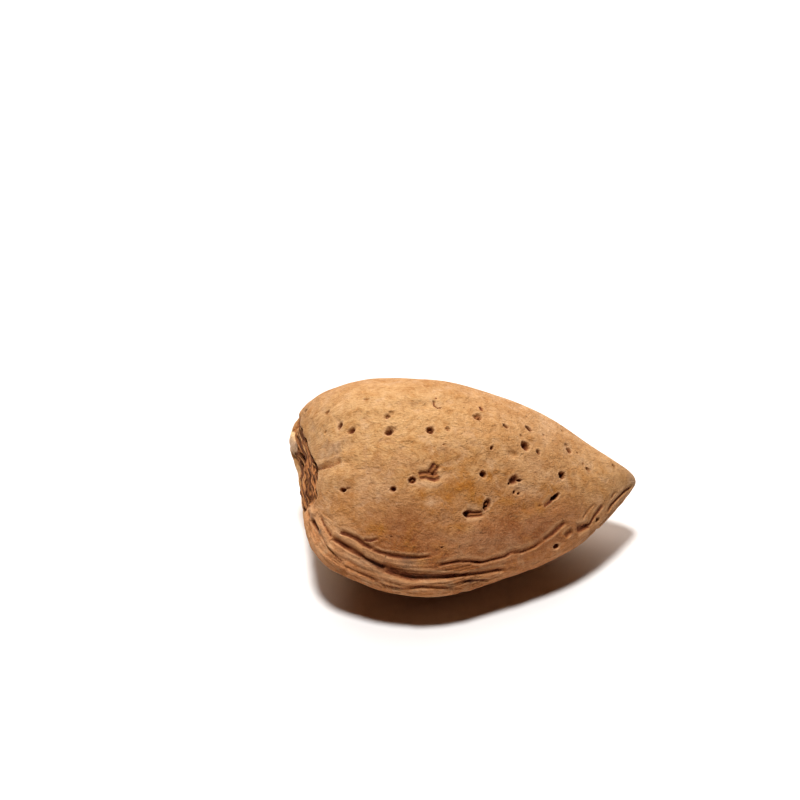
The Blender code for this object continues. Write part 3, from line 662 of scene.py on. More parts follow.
class Relief:
    """Height in mm to move each point along its normal, with where each finish goes, from 0 to 1."""

    def __init__(self, surface):
        self.surface = surface
        count = len(surface.points)
        self.height = np.zeros(count)
        self.dark = np.zeros(count)  # bottoms of pits and furrows: their dark brown, partly painted shade
        self.wall = np.zeros(count)  # their walls: browner, partly painted shade
        self.lip = np.zeros(count)  # the worn edges round them, with a painted highlight on them and on the ridges
        self.stub = np.zeros(count)  # stubs of fibre in them
        self.wander = np.clip(waves(surface.points, *FURROW_WIDTHS), -2.5, 2.5)

    def mark(self, near, height, **finishes):
        """Adds a height near some points, and raises each finish to at least the value given."""
        self.height[near] += height
        for name, values in finishes.items():
            finish = getattr(self, name)
            finish[near] = np.maximum(finish[near], values)

    def pit(self, index, pit):
        """One pit: steep ragged walls in a shallow dish, a low lip, and a stub of fibre in a cored one."""
        near, reach, off = self.surface.in_ellipse(index, pit, 2.6 * max(pit.long, pit.wide))
        reach = reach * 2 / PIT_SIZE
        reach = reach * (1 + PIT_RAGGED * waves(self.surface.points[near], *PIT_RIMS))
        reach = np.clip(reach, 0.0, FAR)
        level = off < PIT_LEVEL
        stub = pit.core * bell(reach, *PIT_STUB)
        rim = LIP_HEIGHT * bell(reach, *PIT_LIP) - LIP_HEIGHT * bell(reach, *PIT_DISH)
        tone = level * np.interp(pit.deep, PIT_TONE_DEPTHS, (0.0, 1.0))
        self.mark(
            near,
            level * pit.deep * (rim + stub - plateau(reach, *PIT_HOLE)),
            dark=tone * np.clip(plateau(reach, *PIT_DARK) - 0.9 * stub, 0, 1),
            wall=tone * plateau(reach, *PIT_WALL),
            lip=tone * bell(reach, *PIT_LIP_COLOUR),
            stub=level * stub,
        )

    def furrow(self, path, furrow):
        """One furrow: a steep upper wall, a sloping lower one, ends that fade out and a wandering width."""
        near, away, place, upper = self.surface.along(path, 3.0 * furrow.wide)
        width = furrow.wide * (1 + FURROW_WANDER * self.wander[near])
        steep = upper | (furrow.slope < 0.5)
        reach = np.clip(away / (width * np.where(upper, UPPER_WALL, furrow.slope)), 0.0, FAR)
        fade = np.clip(9 * place * (1 - place), 0, 1) ** 0.6
        wall = np.where(steep, plateau(reach, *STEEP_WALL), plateau(reach, *SLOPING_WALL))
        bottom = np.where(steep, plateau(reach, *STEEP_DARK), plateau(reach, *SLOPING_DARK))
        brown = np.where(steep, plateau(reach, *STEEP_BROWN), plateau(reach, *SLOPING_BROWN))
        stub = furrow.core * bell(reach, *FURROW_STUB)
        lip = bell(reach, *FURROW_LIP)
        beads = 0.75 + 0.25 * np.clip(waves(self.surface.points[near], *FURROW_BEADS), -1.6, 1.0)
        tone = furrow.tone * fade
        self.mark(
            near,
            FURROW_DEPTH * furrow.deep * fade * (LIP_HEIGHT * lip + stub - wall),
            dark=tone * beads * np.clip(bottom - 1.2 * stub, 0, 1),
            wall=tone * brown,
            lip=tone * lip,
            stub=fade * stub,
        )

    def dent(self, index, dent):
        """One broad hollow with a soft edge."""
        near, reach, _ = self.surface.in_ellipse(index, dent, 2.5 * dent.long)
        self.mark(near, -dent.deep * bell(np.clip(reach, 0, FAR), 0, 1))

    def ridge(self, path, ridge):
        """One rounded strand that stands out of the skin and fades at its ends."""
        near, away, place, _ = self.surface.along(path, 2.0 * ridge.wide)
        fade = (4 * np.clip(place * (1 - place), 0, 0.25)) ** 0.5
        strand = fade * bell(away, 0, ridge.wide / 2)
        # The ridge's pale lip colour is a painted highlight along its top.
        self.mark(near, ridge.tall * strand, lip=strand)

    def keel(self):
        """The keel's crest with its slit, which is open near the tip, and low strands beside it."""
        points, share = self.surface.points, self.surface.share
        keelward = np.cos(self.surface.angle) > 0.3
        crest = KEEL_HEIGHT * bell(points[:, 2], 0, KEEL_WIDTH) * window(share, 0.06, 0.86, 0.03)
        open_part = window(share, 0.86, 0.96, 0.012)
        slit = KEEL_SLIT_DEPTH * bell(points[:, 2], 0, KEEL_SLIT_WIDTH) * (0.2 + 0.8 * open_part)
        slit *= window(share, 0.04, 0.97, 0.01)
        degrees = self.surface.degrees_from_keel()
        turn = 2 * np.pi * (degrees + STRAND_WANDER * waves(points, *STRAND_BENDS))
        strand = STRAND_HEIGHT * np.cos(turn / STRAND_SPACING)
        patchy = np.clip(waves(points, *STRAND_PATCHES), 0, 1.5)
        strand += FINE_STRAND_HEIGHT * patchy * np.cos(turn / FINE_STRAND_SPACING)
        strand *= window(np.abs(degrees), -99.0, STRAND_BAND, 4.0) * window(share, 0.08, 0.60, 0.05)
        self.height += keelward * (crest - slit) + strand
        # The open slit is coloured dark and brown: partly its own colour, partly painted shade.
        opening = 1.6 * slit / KEEL_SLIT_DEPTH
        self.dark = np.maximum(self.dark, keelward * np.clip(opening - 0.4, 0, 1))
        self.wall = np.maximum(self.wall, keelward * np.clip(opening, 0, 1))

    def zones(self):
        """Where the skin is redder beside the keel, browner low on the front, partly as painted shade, and
        palest on the upper cheek and at the tip, as painted light, each with soft edges.
        """
        share, degrees = self.surface.share, self.surface.degrees_from_keel()
        self.band = window(np.abs(degrees), -99.0, KEEL_BAND, 5.0)
        # The front zone is partly the skin's own brown and partly painted shade on the surfaces that face
        # the viewer and the floor.
        self.front = window(np.abs(degrees), *FRONT_ANGLES, 7.0) * window(share, *FRONT_SHARES, 0.05)
        self.front *= 1 + 0.15 * waves(self.surface.points, *FRONT_PATCHES)
        # Painted light: the upper cheek and the tip are painted paler, where the overhead light falls most.
        self.pale = window(degrees, *PAINTED_LIGHT_ANGLES, 7.0) * window(share, *PAINTED_LIGHT_SHARES, 0.06)
        self.pale += 0.5 * window(share, *PAINTED_LIGHT_TIP, 0.04)

    def scar(self):
        """The fibrous trough across the stem end, from back to keel, with low lips and the flake in it."""
        points = self.surface.points
        x, y, z = points.T
        middle, half_long = (SCAR_BACK_END + SCAR_KEEL_END) / 2, (SCAR_KEEL_END - SCAR_BACK_END) / 2
        far, near = scar_edges(y)
        across = np.abs(2 * (z - far) / (near - far) - 1)
        along = np.abs(y - middle) / half_long
        reach = (across**4 + along**4) ** 0.25 + SCAR_RAGGED * waves(points, *SCAR_RIM)
        reach = np.clip(reach, 0, FAR)
        bed = plateau(reach, *SCAR_BED)
        lip = SCAR_LIP * bell(reach, *SCAR_LIP_PLACE)
        turn = 2 * np.pi * (z + SCAR_FIBRE_WANDER * waves(points, *SCAR_BENDS))
        fibre = SCAR_FIBRE_HEIGHT * np.cos(turn / SCAR_FIBRE_SPACING)
        torn = FLAKE_TORN * waves(points, *FLAKE_RIM)
        flake = window(y + torn, FLAKE_BACK_END, FLAKE_KEEL_END, 0.20)
        flake *= window(z + torn, FLAKE_FAR_SIDE, FLAKE_NEAR_SIDE, 0.14)
        uneven = SCAR_UNEVEN * waves(points, *SCAR_LUMPS)
        here = window(x, -9.0, SCAR_REACH, 0.25)
        floor = (fibre + uneven) * (1 - flake) - SCAR_DEPTH + FLAKE_HEIGHT * flake
        self.height += here * (lip + bed * floor)
        self.scar_bed = here * bed
        self.flake = here * bed * flake

    def hidden_pits(self, rng):
        """Pits on the sides that the reference view doesn't show, closer together toward the tip."""
        surface, found = self.surface, []
        while len(found) < HIDDEN_PITS:
            share = HIDDEN_PIT_SHARES[0] + np.ptp(HIDDEN_PIT_SHARES) * rng.random() ** 0.8
            index = surface.at_angle(share, rng.uniform(*HIDDEN_PIT_ANGLES))
            wide = rng.uniform(*HIDDEN_PIT_WIDE)
            place = surface.points[index]
            if all(np.linalg.norm(place - other) > HIDDEN_PIT_GAP for other in found):
                long = wide * rng.uniform(1.0, 1.5)
                found.append(place)
                self.pit(index, Pit(0, 0, long, wide, wide * rng.uniform(0.35, 0.7), rng.uniform(-60, 60)))

    def hidden_furrows(self, rng):
        """Furrows along the lower side of the keel, fanning from the stem scar."""
        for angle in np.linspace(*HIDDEN_FURROW_ANGLES, HIDDEN_FURROWS):
            start, end = rng.uniform(0.05, 0.16), rng.uniform(0.45, 0.88)
            drift, phase = rng.uniform(1.0, 3.0), rng.uniform(0, 2 * np.pi)
            shares = np.linspace(start, end, 9)
            bends = angle + drift * np.sin(5 * shares + phase)
            path = self.surface.points[[self.surface.at_angle(*place) for place in zip(shares, bends)]]
            wide, deep = rng.uniform(*HIDDEN_FURROW_WIDE), rng.uniform(*HIDDEN_FURROW_DEEP)
            self.furrow(path, Furrow(path, wide, deep))

    def make(self):
        """All the relief in turn. The skin is left smooth where the nut rests."""
        surface, rng = self.surface, np.random.default_rng(SEED)
        self.height += LUMP_HEIGHT * waves(surface.points, *LUMPS)
        self.height += GRAIN_HEIGHT * waves(surface.points, *GRAIN)
        self.keel()
        self.zones()
        self.scar()
        for dent in DENTS:
            self.dent(surface.at_pixel(dent.right, dent.down), dent)
        for pit in PITS:
            self.pit(surface.at_pixel(pit.right, pit.down), pit)
        self.hidden_pits(rng)
        for furrow in FURROWS:
            self.furrow(surface.path_at(furrow.path), furrow)
        for ridge in RIDGES:
            self.ridge(surface.path_at(ridge.path), ridge)
        self.hidden_furrows(rng)
        smooth = 1 - self.resting_place()
        for values in (self.height, self.dark, self.wall, self.lip, self.stub):
            values *= smooth

    def resting_place(self):
        """1 where the nut rests, round its lowest point, and 0 away from it."""
        turned = posed(self.surface.points)
        away = np.linalg.norm(turned - turned[np.argmin(turned[:, 2])], axis=1)
        return plateau(away, SMOOTH_REACH, 12)

    def patches(self, patches):
        """Strength of a set of patches at each point, stains or painted shade: soft ellipses with ragged
        edges.
        """
        surface = self.surface
        ragged = 0.35 * waves(surface.points, *PATCH_RIMS)
        total = np.zeros(len(surface.points))
        for stain in patches:
            index = surface.at_pixel(stain.right, stain.down)
            near, reach, _ = surface.in_ellipse(index, stain, 3.0 * stain.long)
            strength = stain.strength * bell(np.clip(reach + ragged[near], 0, FAR), 0, 1)
            total[near] = np.maximum(total[near], strength)
        return total


def closed_triangles(rings, around):
    """Triangles of a tube of rings, with a fan to one more point at each end, the first end's first."""
    stem, tip = rings * around, rings * around + 1
    index = np.arange(rings * around).reshape(rings, around)
    after = np.roll(index, -1, axis=1)
    sides = np.stack([index[:-1], index[1:], after[1:], index[:-1], after[1:], after[:-1]], axis=-1)
    stem_fan = np.stack([np.full(around, stem), index[0], after[0]], axis=-1)
    tip_fan = np.stack([np.full(around, tip), after[-1], index[-1]], axis=-1)
    return np.concatenate([sides.reshape(-1, 3), stem_fan, tip_fan])


def with_ends(values, rings):
    """Adds the mean of the first ring and of the last one, for the point at each end."""
    rows = values.reshape(rings, -1, *values.shape[1:])
    return np.concatenate([values, [rows[0].mean(axis=0), rows[-1].mean(axis=0)]])


@functools.cache
def shell_relief():
    """The shell's relief on the full grid, worked out once."""
    surface = Surface(*grid())
    relief = Relief(surface)
    relief.make()
    return relief


@functools.cache
def floor_and_middle():
    """The move in mm that puts the flat spot on the floor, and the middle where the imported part's is."""
    relief = shell_relief()
    surface = relief.surface
    points = posed(surface.points + surface.normals * relief.height[:, None])
    level = points[:, 2].min() + FLAT_DEPTH
    low, high = points.min(axis=0), points.max(axis=0)
    box_low, box_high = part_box(NODE)
    middle = (np.array(box_low) + np.array(box_high)) / 2 / MM
    return np.array([middle[0] - (low[0] + high[0]) / 2, middle[1] - (low[1] + high[1]) / 2, -level])


def placed(points):
    """Body points in mm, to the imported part's frame in metres."""
    return (posed(points) + floor_and_middle()) * MM


def tube(path, radii, outward, sides):
    """Points of a strand: a circle of each radius carried along the path, facing outward."""
    along = unit(np.gradient(path, axis=0))
    across = unit(np.cross(outward, along))
    upward = np.cross(along, across)
    turn = np.linspace(0, 2 * np.pi, sides, endpoint=False)[:, None, None]
    rings = path + radii[:, None] * (np.cos(turn) * across + np.sin(turn) * upward)
    return rings.transpose(1, 0, 2).reshape(-1, 3)


def scar_fibres():
    """Points, triangles and tone of the strands in the scar, each a slow wave that thins at its ends."""
    relief, rng = shell_relief(), np.random.default_rng(FIBRE_SEED)
    surface = relief.surface
    bed = np.flatnonzero((relief.scar_bed > 0.3) & (surface.share < 0.2))
    floor = surface.points[bed] + surface.normals[bed] * relief.height[bed, None]
    share = np.linspace(0, 1, FIBRE_NODES)
    points, triangles, tones = [], [], []
    while len(points) < FIBRES:
        length = rng.uniform(*FIBRE_LENGTHS)
        y = rng.uniform(SCAR_BACK_END + 0.6, SCAR_KEEL_END - 0.5 - length) + length * share
        far, near = scar_edges(y)
        wave = FIBRE_WAVE * np.sin(rng.uniform(1, 5) * share + rng.uniform(0, 2 * np.pi))
        part = 0.08 + 0.84 * rng.random()
        z = far + (near - far) * np.clip(part + rng.normal(0, 0.05) * (share - 0.5), 0.04, 0.96) + wave
        beside = (z > FLAKE_FAR_SIDE - FLAKE_CLEARANCE) & (z < FLAKE_NEAR_SIDE + FLAKE_CLEARANCE)
        if np.any((y < FLAKE_KEEL_END + FLAKE_CLEARANCE) & beside):
            continue
        away = np.hypot(surface.points[bed, 1] - y[:, None], surface.points[bed, 2] - z[:, None])
        places = away.argmin(axis=1)
        radii = rng.uniform(*FIBRE_RADII) * (0.15 + 0.85 * np.sin(np.pi * share) ** 0.6)
        outward = surface.normals[bed[places]]
        base = np.stack([floor[places, 0], y, z], axis=-1)
        base[1:-1] = (base[:-2] + 2 * base[1:-1] + base[2:]) / 4
        path = base + outward * (0.6 * radii + 0.10 * rng.random() * np.sin(np.pi * share))[:, None]
        rings = tube(path, radii, outward, FIBRE_SIDES)
        first = len(points) * (FIBRE_NODES * FIBRE_SIDES + 2)
        triangles.append(closed_triangles(FIBRE_NODES, FIBRE_SIDES) + first)
        points.append(with_ends(rings, FIBRE_NODES))
        tones.append(np.full(len(points[-1]), rng.random()))
    return np.concatenate(points), np.concatenate(triangles), np.concatenate(tones)


def new_piece(name, points, triangles, numbers, vectors=None):
    """An object at the origin whose mesh holds the points, with its per-point attributes."""
    mesh = bpy.data.meshes.new(name)
    mesh.from_pydata(points, [], triangles.tolist())
    for label, values in numbers.items():
        mesh.attributes.new(label, "FLOAT", "POINT").data.foreach_set("value", values.astype(np.float32))
    for label, values in (vectors or {}).items():
        layer = mesh.attributes.new(label, "FLOAT_VECTOR", "POINT")
        layer.data.foreach_set("vector", values.astype(np.float32).ravel())
    mesh.shade_smooth()
    piece = bpy.data.objects.new(name, mesh)
    bpy.context.scene.collection.objects.link(piece)
    return piece


def thin(piece, triangles):
    """Brings a piece down to a number of triangles, finest where its relief is."""
    decimate = piece.modifiers.new("thin", "DECIMATE")
    decimate.ratio = triangles / len(piece.data.polygons)
    depsgraph = bpy.context.evaluated_depsgraph_get()
    mesh = bpy.data.meshes.new_from_object(piece.evaluated_get(depsgraph))
    piece.modifiers.clear()
    old, piece.data = piece.data, mesh
    bpy.data.meshes.remove(old)
    mesh.name = piece.name


class Finish:
    """A material with short calls for the nodes that these finishes use. Each returns an output socket."""

    def __init__(self, name):
        self.material = bpy.data.materials.new(name)
        self.material.use_nodes = True
        self.tree = self.material.node_tree
        self.shader = self.tree.nodes["Principled BSDF"]

    def node(self, kind, inputs, **settings):
        made = self.tree.nodes.new(kind)
        for name, value in settings.items():
            setattr(made, name, value)
        for place, value in inputs.items():
            if isinstance(value, bpy.types.NodeSocket):
                self.tree.links.new(value, made.inputs[place])
            else:
                made.inputs[place].default_value = value
        return made

    def number(self, label):
        return self.node("ShaderNodeAttribute", {}, attribute_name=label).outputs["Fac"]

    def vector(self, label):
        return self.node("ShaderNodeAttribute", {}, attribute_name=label).outputs["Vector"]

    def in_mm(self):
        """Object coordinates in millimetres."""
        place = self.node("ShaderNodeTexCoord", {}).outputs["Object"]
        return self.node("ShaderNodeMapping", {"Vector": place, "Scale": (1 / MM,) * 3}).outputs["Vector"]

    def scaled(self, vector, scale):
        return self.node("ShaderNodeMapping", {"Vector": vector, "Scale": scale}).outputs["Vector"]

    def noise(self, vector, size, detail=2.0, roughness=0.5, distortion=0.0):
        """Noise from 0 to 1 whose largest blotches are about size across, in the vector's units."""
        inputs = {"Vector": vector, "Scale": 1 / size, "Detail": detail, "Roughness": roughness}
        inputs["Distortion"] = distortion
        return self.node("ShaderNodeTexNoise", inputs).outputs["Fac"]

    def span(self, value, low, high, to_low=0.0, to_high=1.0):
        """A smooth step of the value from low to high."""
        inputs = {"Value": value, "From Min": low, "From Max": high, "To Min": to_low, "To Max": to_high}
        return self.node("ShaderNodeMapRange", inputs, interpolation_type="SMOOTHSTEP").outputs["Result"]

    def math(self, operation, first, second, clamp=False):
        made = self.node("ShaderNodeMath", {0: first, 1: second}, operation=operation, use_clamp=clamp)
        return made.outputs["Value"]

    def broken(self, label, noise, *steps):
        """An attribute, weaker where a noise is low or high, as span's steps say."""
        return self.math("MULTIPLY", self.number(label), self.span(noise, *steps))

    def mix(self, factor, first, second, blend="MIX"):
        """A mix of two colours. 0 is the first one."""
        made = self.tree.nodes.new("ShaderNodeMix")
        made.data_type, made.blend_type = "RGBA", blend
        sockets = [made.inputs["Factor"]] + [s for s in made.inputs if s.type == "RGBA"]
        for socket, value in zip(sockets, (factor, first, second)):
            if isinstance(value, bpy.types.NodeSocket):
                self.tree.links.new(value, socket)
            elif socket.type == "RGBA":
                socket.default_value = (*value[:3], 1.0)
            else:
                socket.default_value = value
        return next(s for s in made.outputs if s.type == "RGBA")

    def bump(self, height, distance, normal=None):
        """Height from 0 to 1 as a bump that is distance mm tall."""
        inputs = {"Height": height, "Distance": distance * MM, "Strength": 1.0}
        if normal is not None:
            inputs["Normal"] = normal
        return self.node("ShaderNodeBump", inputs).outputs["Normal"]

    def surface(self, colour, roughness, normal, constants):
        self.tree.links.new(colour, self.shader.inputs["Base Color"])
        self.tree.links.new(roughness, self.shader.inputs["Roughness"])
        self.tree.links.new(normal, self.shader.inputs["Normal"])
        for name, value in constants.items():
            self.shader.inputs[name].default_value = value
        return self.material


def shell_finish(looks):
    """Tan shell: mottled, stained and bloomed, with a fine fibrous grain; pale lips, partly a painted
    highlight; dark hollows, partly painted shade; painted light on the upper cheek and the tip; painted
    shade low on the front and in patches.
    """
    finish = Finish("almond_shell_skin")
    place, flow = finish.in_mm(), finish.vector("flow")

    broad = finish.noise(place, BROAD_SIZE, 3.0, 0.55)
    patch = finish.noise(place, PATCH_SIZE, 3.0, 0.6, 0.4)
    lumps = finish.noise(place, LUMP_SIZE, 3.0, 0.6, 0.3)
    felt = finish.noise(finish.scaled(flow, (0.8, 1.0, 1.0)), FELT_SIZE, 3.0, 0.7, 0.3)
    speck = finish.noise(place, SPECK_SIZE, 2.0, 0.6)

    colour = finish.mix(finish.span(broad, 0.35, 0.65), looks.pale_tan, looks.tan)
    colour = finish.mix(finish.broken("band", patch, 0.3, 0.7, 0.5, 1.0), colour, looks.keel)
    # Browner front: partly the skin's own brown, partly painted shade.
    front = finish.math("MULTIPLY", finish.number("front"), 0.9, clamp=True)
    colour = finish.mix(front, colour, looks.front)
    # Painted light: paler, yellower tan on the upper cheek and at the tip.
    colour = finish.mix(finish.broken("pale", patch, 0.3, 0.6, 0.6, 1.0), colour, looks.painted_light_tan)
    # Painted shade: the shade patches darken and dull the skin.
    colour = finish.mix(finish.broken("shade", patch, 0.3, 0.6, 1.0, 0.6), colour, looks.shade, "MULTIPLY")
    ochre = finish.broken("ochre", patch, 0.30, 0.58, 0.3, 1.0)
    ochre = finish.math("ADD", ochre, finish.span(patch, 0.50, 0.70, 0.0, looks.mottle), clamp=True)
    colour = finish.mix(ochre, colour, looks.ochre)
    away_from_front_brown_and_shade = finish.span(finish.number("front"), 0.2, 0.9, 1.0, 0.3)
    mottle = finish.math("MULTIPLY", finish.span(patch, 0.32, 0.48, looks.mottle, 0.0), away_from_front_brown_and_shade)
    bloom = finish.math("ADD", finish.broken("bloom", patch, 0.3, 0.65, 0.4, 1.0), mottle, clamp=True)
    colour = finish.mix(bloom, colour, looks.bloom)
    colour = finish.mix(finish.span(patch, 0.40, 0.60, 0.0, 0.18), colour, looks.grain_dark, "MULTIPLY")
    colour = finish.mix(finish.span(lumps, 0.34, 0.62, 0.60, 0.0), colour, looks.grain_dark, "MULTIPLY")
    colour = finish.mix(finish.span(felt, 0.34, 0.60, 0.70, 0.0), colour, looks.grain_dark, "MULTIPLY")
    colour = finish.mix(finish.span(speck, 0.45, 0.72, 0.0, 0.22), colour, looks.pale_tan)

    ragged = finish.span(speck, 0.2, 0.8, -0.18, 0.18)
    lip, wall, dark = finish.number("lip"), finish.number("wall"), finish.number("dark")
    # Pale lips: worn edges, and a painted highlight round the pits and furrows and along the ridges.
    colour = finish.mix(finish.math("MULTIPLY", lip, 0.40), colour, looks.lip)
    # Brown walls and dark bottoms of the pits, furrows and keel slit: partly the shell's own dark brown,
    # partly painted shade in place of depth.
    wall = finish.span(finish.math("ADD", wall, ragged), 0.25, 0.9, 0.0, 0.85)
    colour = finish.mix(wall, colour, looks.furrow)
    fibres = finish.noise(finish.scaled(flow, (0.5, 1.0, 1.0)), 0.22, 2.0, 0.5)
    inside = finish.mix(finish.span(fibres, 0.52, 0.68), looks.pit, looks.furrow)
    dark = finish.span(finish.math("ADD", dark, ragged), 0.25, 0.75)
    colour = finish.mix(dark, colour, inside)
    colour = finish.mix(finish.span(finish.number("stub"), 0.1, 0.5, 0.0, 0.7), colour, looks.scar_fibre)

    fibre = finish.noise(finish.scaled(place, (1.0, 0.3, 1.5)), 0.40, 3.0, 0.6, 0.6)
    scar_colour = finish.mix(finish.span(fibre, 0.36, 0.60), looks.scar_dark, looks.scar_fibre)
    scar_colour = finish.mix(dark, scar_colour, looks.pit)
    colour = finish.mix(finish.span(finish.number("scar_bed"), 0.5, 0.9), colour, scar_colour)
    flake_colour = finish.mix(finish.span(patch, 0.45, 0.60), looks.flake, looks.bloom)
    flake_colour = finish.mix(finish.span(speck, 0.58, 0.68, 0.0, 0.6), flake_colour, looks.scar_dark)
    colour = finish.mix(finish.span(finish.number("flake"), 0.3, 0.6), colour, flake_colour)
    # Grey-brown darkening at the listed places in pits, furrows and the scar.
    colour = finish.mix(finish.broken("dirt", speck, 0.35, 0.55, 0.35, 1.0), colour, looks.dirt)

    roughness = finish.span(felt, 0.3, 0.7, looks.roughness + 0.08, looks.roughness - 0.06)
    normal = finish.bump(patch, PATCH_HEIGHT)
    normal = finish.bump(lumps, SKIN_LUMP_HEIGHT, normal)
    normal = finish.bump(felt, looks.felt_height, normal)
    normal = finish.bump(speck, looks.felt_height * 0.5, normal)
    constants = {
        "Sheen Weight": 0.08,
        "Sheen Roughness": 0.6,
        "Sheen Tint": (1.0, 0.82, 0.62, 1.0),
        "Specular IOR Level": 0.20,
    }
    return finish.surface(colour, roughness, normal, constants)


def fibre_finish(looks):
    """Strands from dark brown through orange to pale straw, darker in patches along them."""
    finish = Finish("scar_fibre")
    place, tone = finish.in_mm(), finish.number("tone")
    grain = finish.noise(finish.scaled(place, (1.0, 0.4, 1.0)), 0.5, 2.0, 0.6)
    colour = finish.mix(finish.span(tone, 0.20, 0.75), looks.dark, looks.orange)
    colour = finish.mix(finish.span(tone, 0.80, 1.00), colour, looks.straw)
    colour = finish.mix(finish.span(grain, 0.55, 0.70, 0.0, 0.8), colour, looks.dark)
    fine = finish.noise(finish.scaled(place, (2.0, 0.5, 2.0)), 0.12, 2.0, 0.5)
    roughness = finish.span(fine, 0.3, 0.7, 0.55, 0.80)
    return finish.surface(colour, roughness, finish.bump(fine, 0.03), {"Specular IOR Level": 0.3})


def colour_property(name, description, default):
    return bpy.props.FloatVectorProperty(
        name=name, description=description, default=default, subtype="COLOR", size=3, min=0.0, max=1.0
    )


class AlmondShellLooks(bpy.types.PropertyGroup):
    """Colours and surface of the shell."""

    pale_tan: colour_property("Pale tan", "Lightest tan of the skin", (0.63, 0.380, 0.188))
    tan: colour_property("Tan", "Ordinary tan of the skin", (0.55, 0.310, 0.138))
    # Painted light: the paler tan that stands for the light on the upper cheek and the tip.
    painted_light_tan: colour_property("Painted light tan", "Palest, yellowest tan, on the upper cheek", (0.695, 0.440, 0.214))
    ochre: colour_property("Ochre", "Yellow-brown stains", (0.47, 0.205, 0.034))
    # Brown low on the front: partly the skin's own brown, partly painted shade where the overhead light
    # falls less.
    front: colour_property("Front", "Brown between the keel and the cheek", (0.335, 0.120, 0.033))
    # Painted shade: the tint of the darker, duller patches.
    shade: colour_property("Shade", "Tint of the duller patches", (0.76, 0.640, 0.47))
    keel: colour_property("Keel", "Redder brown beside the keel", (0.625, 0.285, 0.122))
    bloom: colour_property("Bloom", "Pale pinkish grey patches", (0.65, 0.44, 0.285))
    # Grey-brown darkening in pits, furrows and the scar.
    dirt: colour_property("Dirt", "Grey-brown dirt in the corners", (0.12, 0.085, 0.06))
    grain_dark: colour_property("Grain", "Tint of the hollows between the fibres", (0.76, 0.67, 0.56))
    # Pale lips: worn edges and a painted highlight on them.
    lip: colour_property("Lips", "Worn edges of pits and furrows", (0.68, 0.43, 0.24))
    # Furrow walls and pit bottoms: the shell's own dark brown, partly painted shade in place of depth.
    furrow: colour_property("Furrows", "Brown of the furrows' walls", (0.24, 0.082, 0.028))
    pit: colour_property("Pits", "Dark brown at the bottom of the pits", (0.15, 0.042, 0.013))
    scar_dark: colour_property("Scar shade", "Dark fibres in the stem scar", (0.15, 0.052, 0.017))
    scar_fibre: colour_property("Scar fibres", "Orange fibres in the stem scar", (0.42, 0.180, 0.060))
    flake: colour_property("Flake", "Pale skin left over the scar", (0.85, 0.58, 0.31))
    mottle: bpy.props.FloatProperty(
        name="Mottle", description="Strength of the stains", default=0.35, min=0.0, max=1.0
    )
    roughness: bpy.props.FloatProperty(
        name="Roughness", description="Mean roughness of the skin", default=0.66, min=0.1, max=1.0
    )
    felt_height: bpy.props.FloatProperty(
        name="Fibre height", description="Height of the fine fibres, in mm", default=0.13, min=0.0, max=0.5
    )


class AlmondFibreLooks(bpy.types.PropertyGroup):
    """Colours of the loose fibres in the stem scar."""

    dark: colour_property("Dark", "Darkest fibres", (0.14, 0.052, 0.019))
    orange: colour_property("Orange", "Orange-brown fibres", (0.44, 0.195, 0.070))
    straw: colour_property("Straw", "Palest fibres", (0.60, 0.350, 0.150))


class AlmondStageLooks(bpy.types.PropertyGroup):
    """Floor, lights and camera."""

    floor_side: bpy.props.FloatProperty(
        name="Floor side", description="Side of the floor", default=3.0, unit="LENGTH", min=0.5
    )
    floor_colour: colour_property("Floor", "Colour of the floor", (0.78, 0.78, 0.78))
    backdrop: colour_property("Backdrop", "Colour beyond the floor, which gives no light", (1.0, 1.0, 1.0))
    ambient: colour_property("Ambient", "Light from all round", (0.034, 0.009, 0.002))
    key_strength: bpy.props.FloatProperty(
        name="Key strength", description="Strength of the overhead softbox", default=3.1, min=0.0
    )
    back_strength: bpy.props.FloatProperty(
        name="Back strength", description="Strength of the broad light from behind", default=1.9, min=0.0
    )
    lens: bpy.props.FloatProperty(
        name="Lens", description="Focal length of the camera, in millimetres", default=100.0, min=10.0
    )


class ALMOND_OT_shell(bpy.types.Operator):
    """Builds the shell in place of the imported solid, on a finer grid and with its finish"""

    bl_idname = "almond.shell"
    bl_label = "Shell"

    def execute(self, context):
        relief = shell_relief()
        surface, rings = relief.surface, RINGS - 1
        points = placed(with_ends(surface.points + surface.normals * relief.height[:, None], rings))
        points[:, 2] = np.maximum(points[:, 2], 0.0)
        numbers = {label: getattr(relief, label) for label in RELIEF_FINISHES}
        numbers |= {label: relief.patches(patches) for label, patches in PATCH_SETS.items()}
        numbers = {label: with_ends(values, rings) for label, values in numbers.items()}
        widest = np.array([half_size(field, WIDEST_SHARE) for field in ("keel", "thick")])
        round_y, round_z = widest[0] * np.cos(surface.angle), widest[1] * np.sin(surface.angle)
        flow = np.stack([surface.points[:, 0], round_y, round_z], axis=-1)
        triangles = closed_triangles(rings, AROUND)
        shell = new_piece("shell", points, triangles, numbers, {"flow": with_ends(flow, rings)})
        thin(shell, TRIANGLES)
        shell.data.materials.append(shell_finish(context.scene.almond_shell_looks))
        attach(shell, "root")
        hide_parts(NODE)
        return {"FINISHED"}


class ALMOND_OT_scar_fibres(bpy.types.Operator):
    """Lays the loose fibres in the stem scar"""

    bl_idname = "almond.scar_fibres"
    bl_label = "Scar fibres"

    def execute(self, context):
        points, triangles, tones = scar_fibres()
        fibres = new_piece("scar_fibres", placed(points), triangles, {"tone": tones})
        fibres.data.materials.append(fibre_finish(context.scene.almond_fibre_looks))
        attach(fibres, "root")
        return {"FINISHED"}


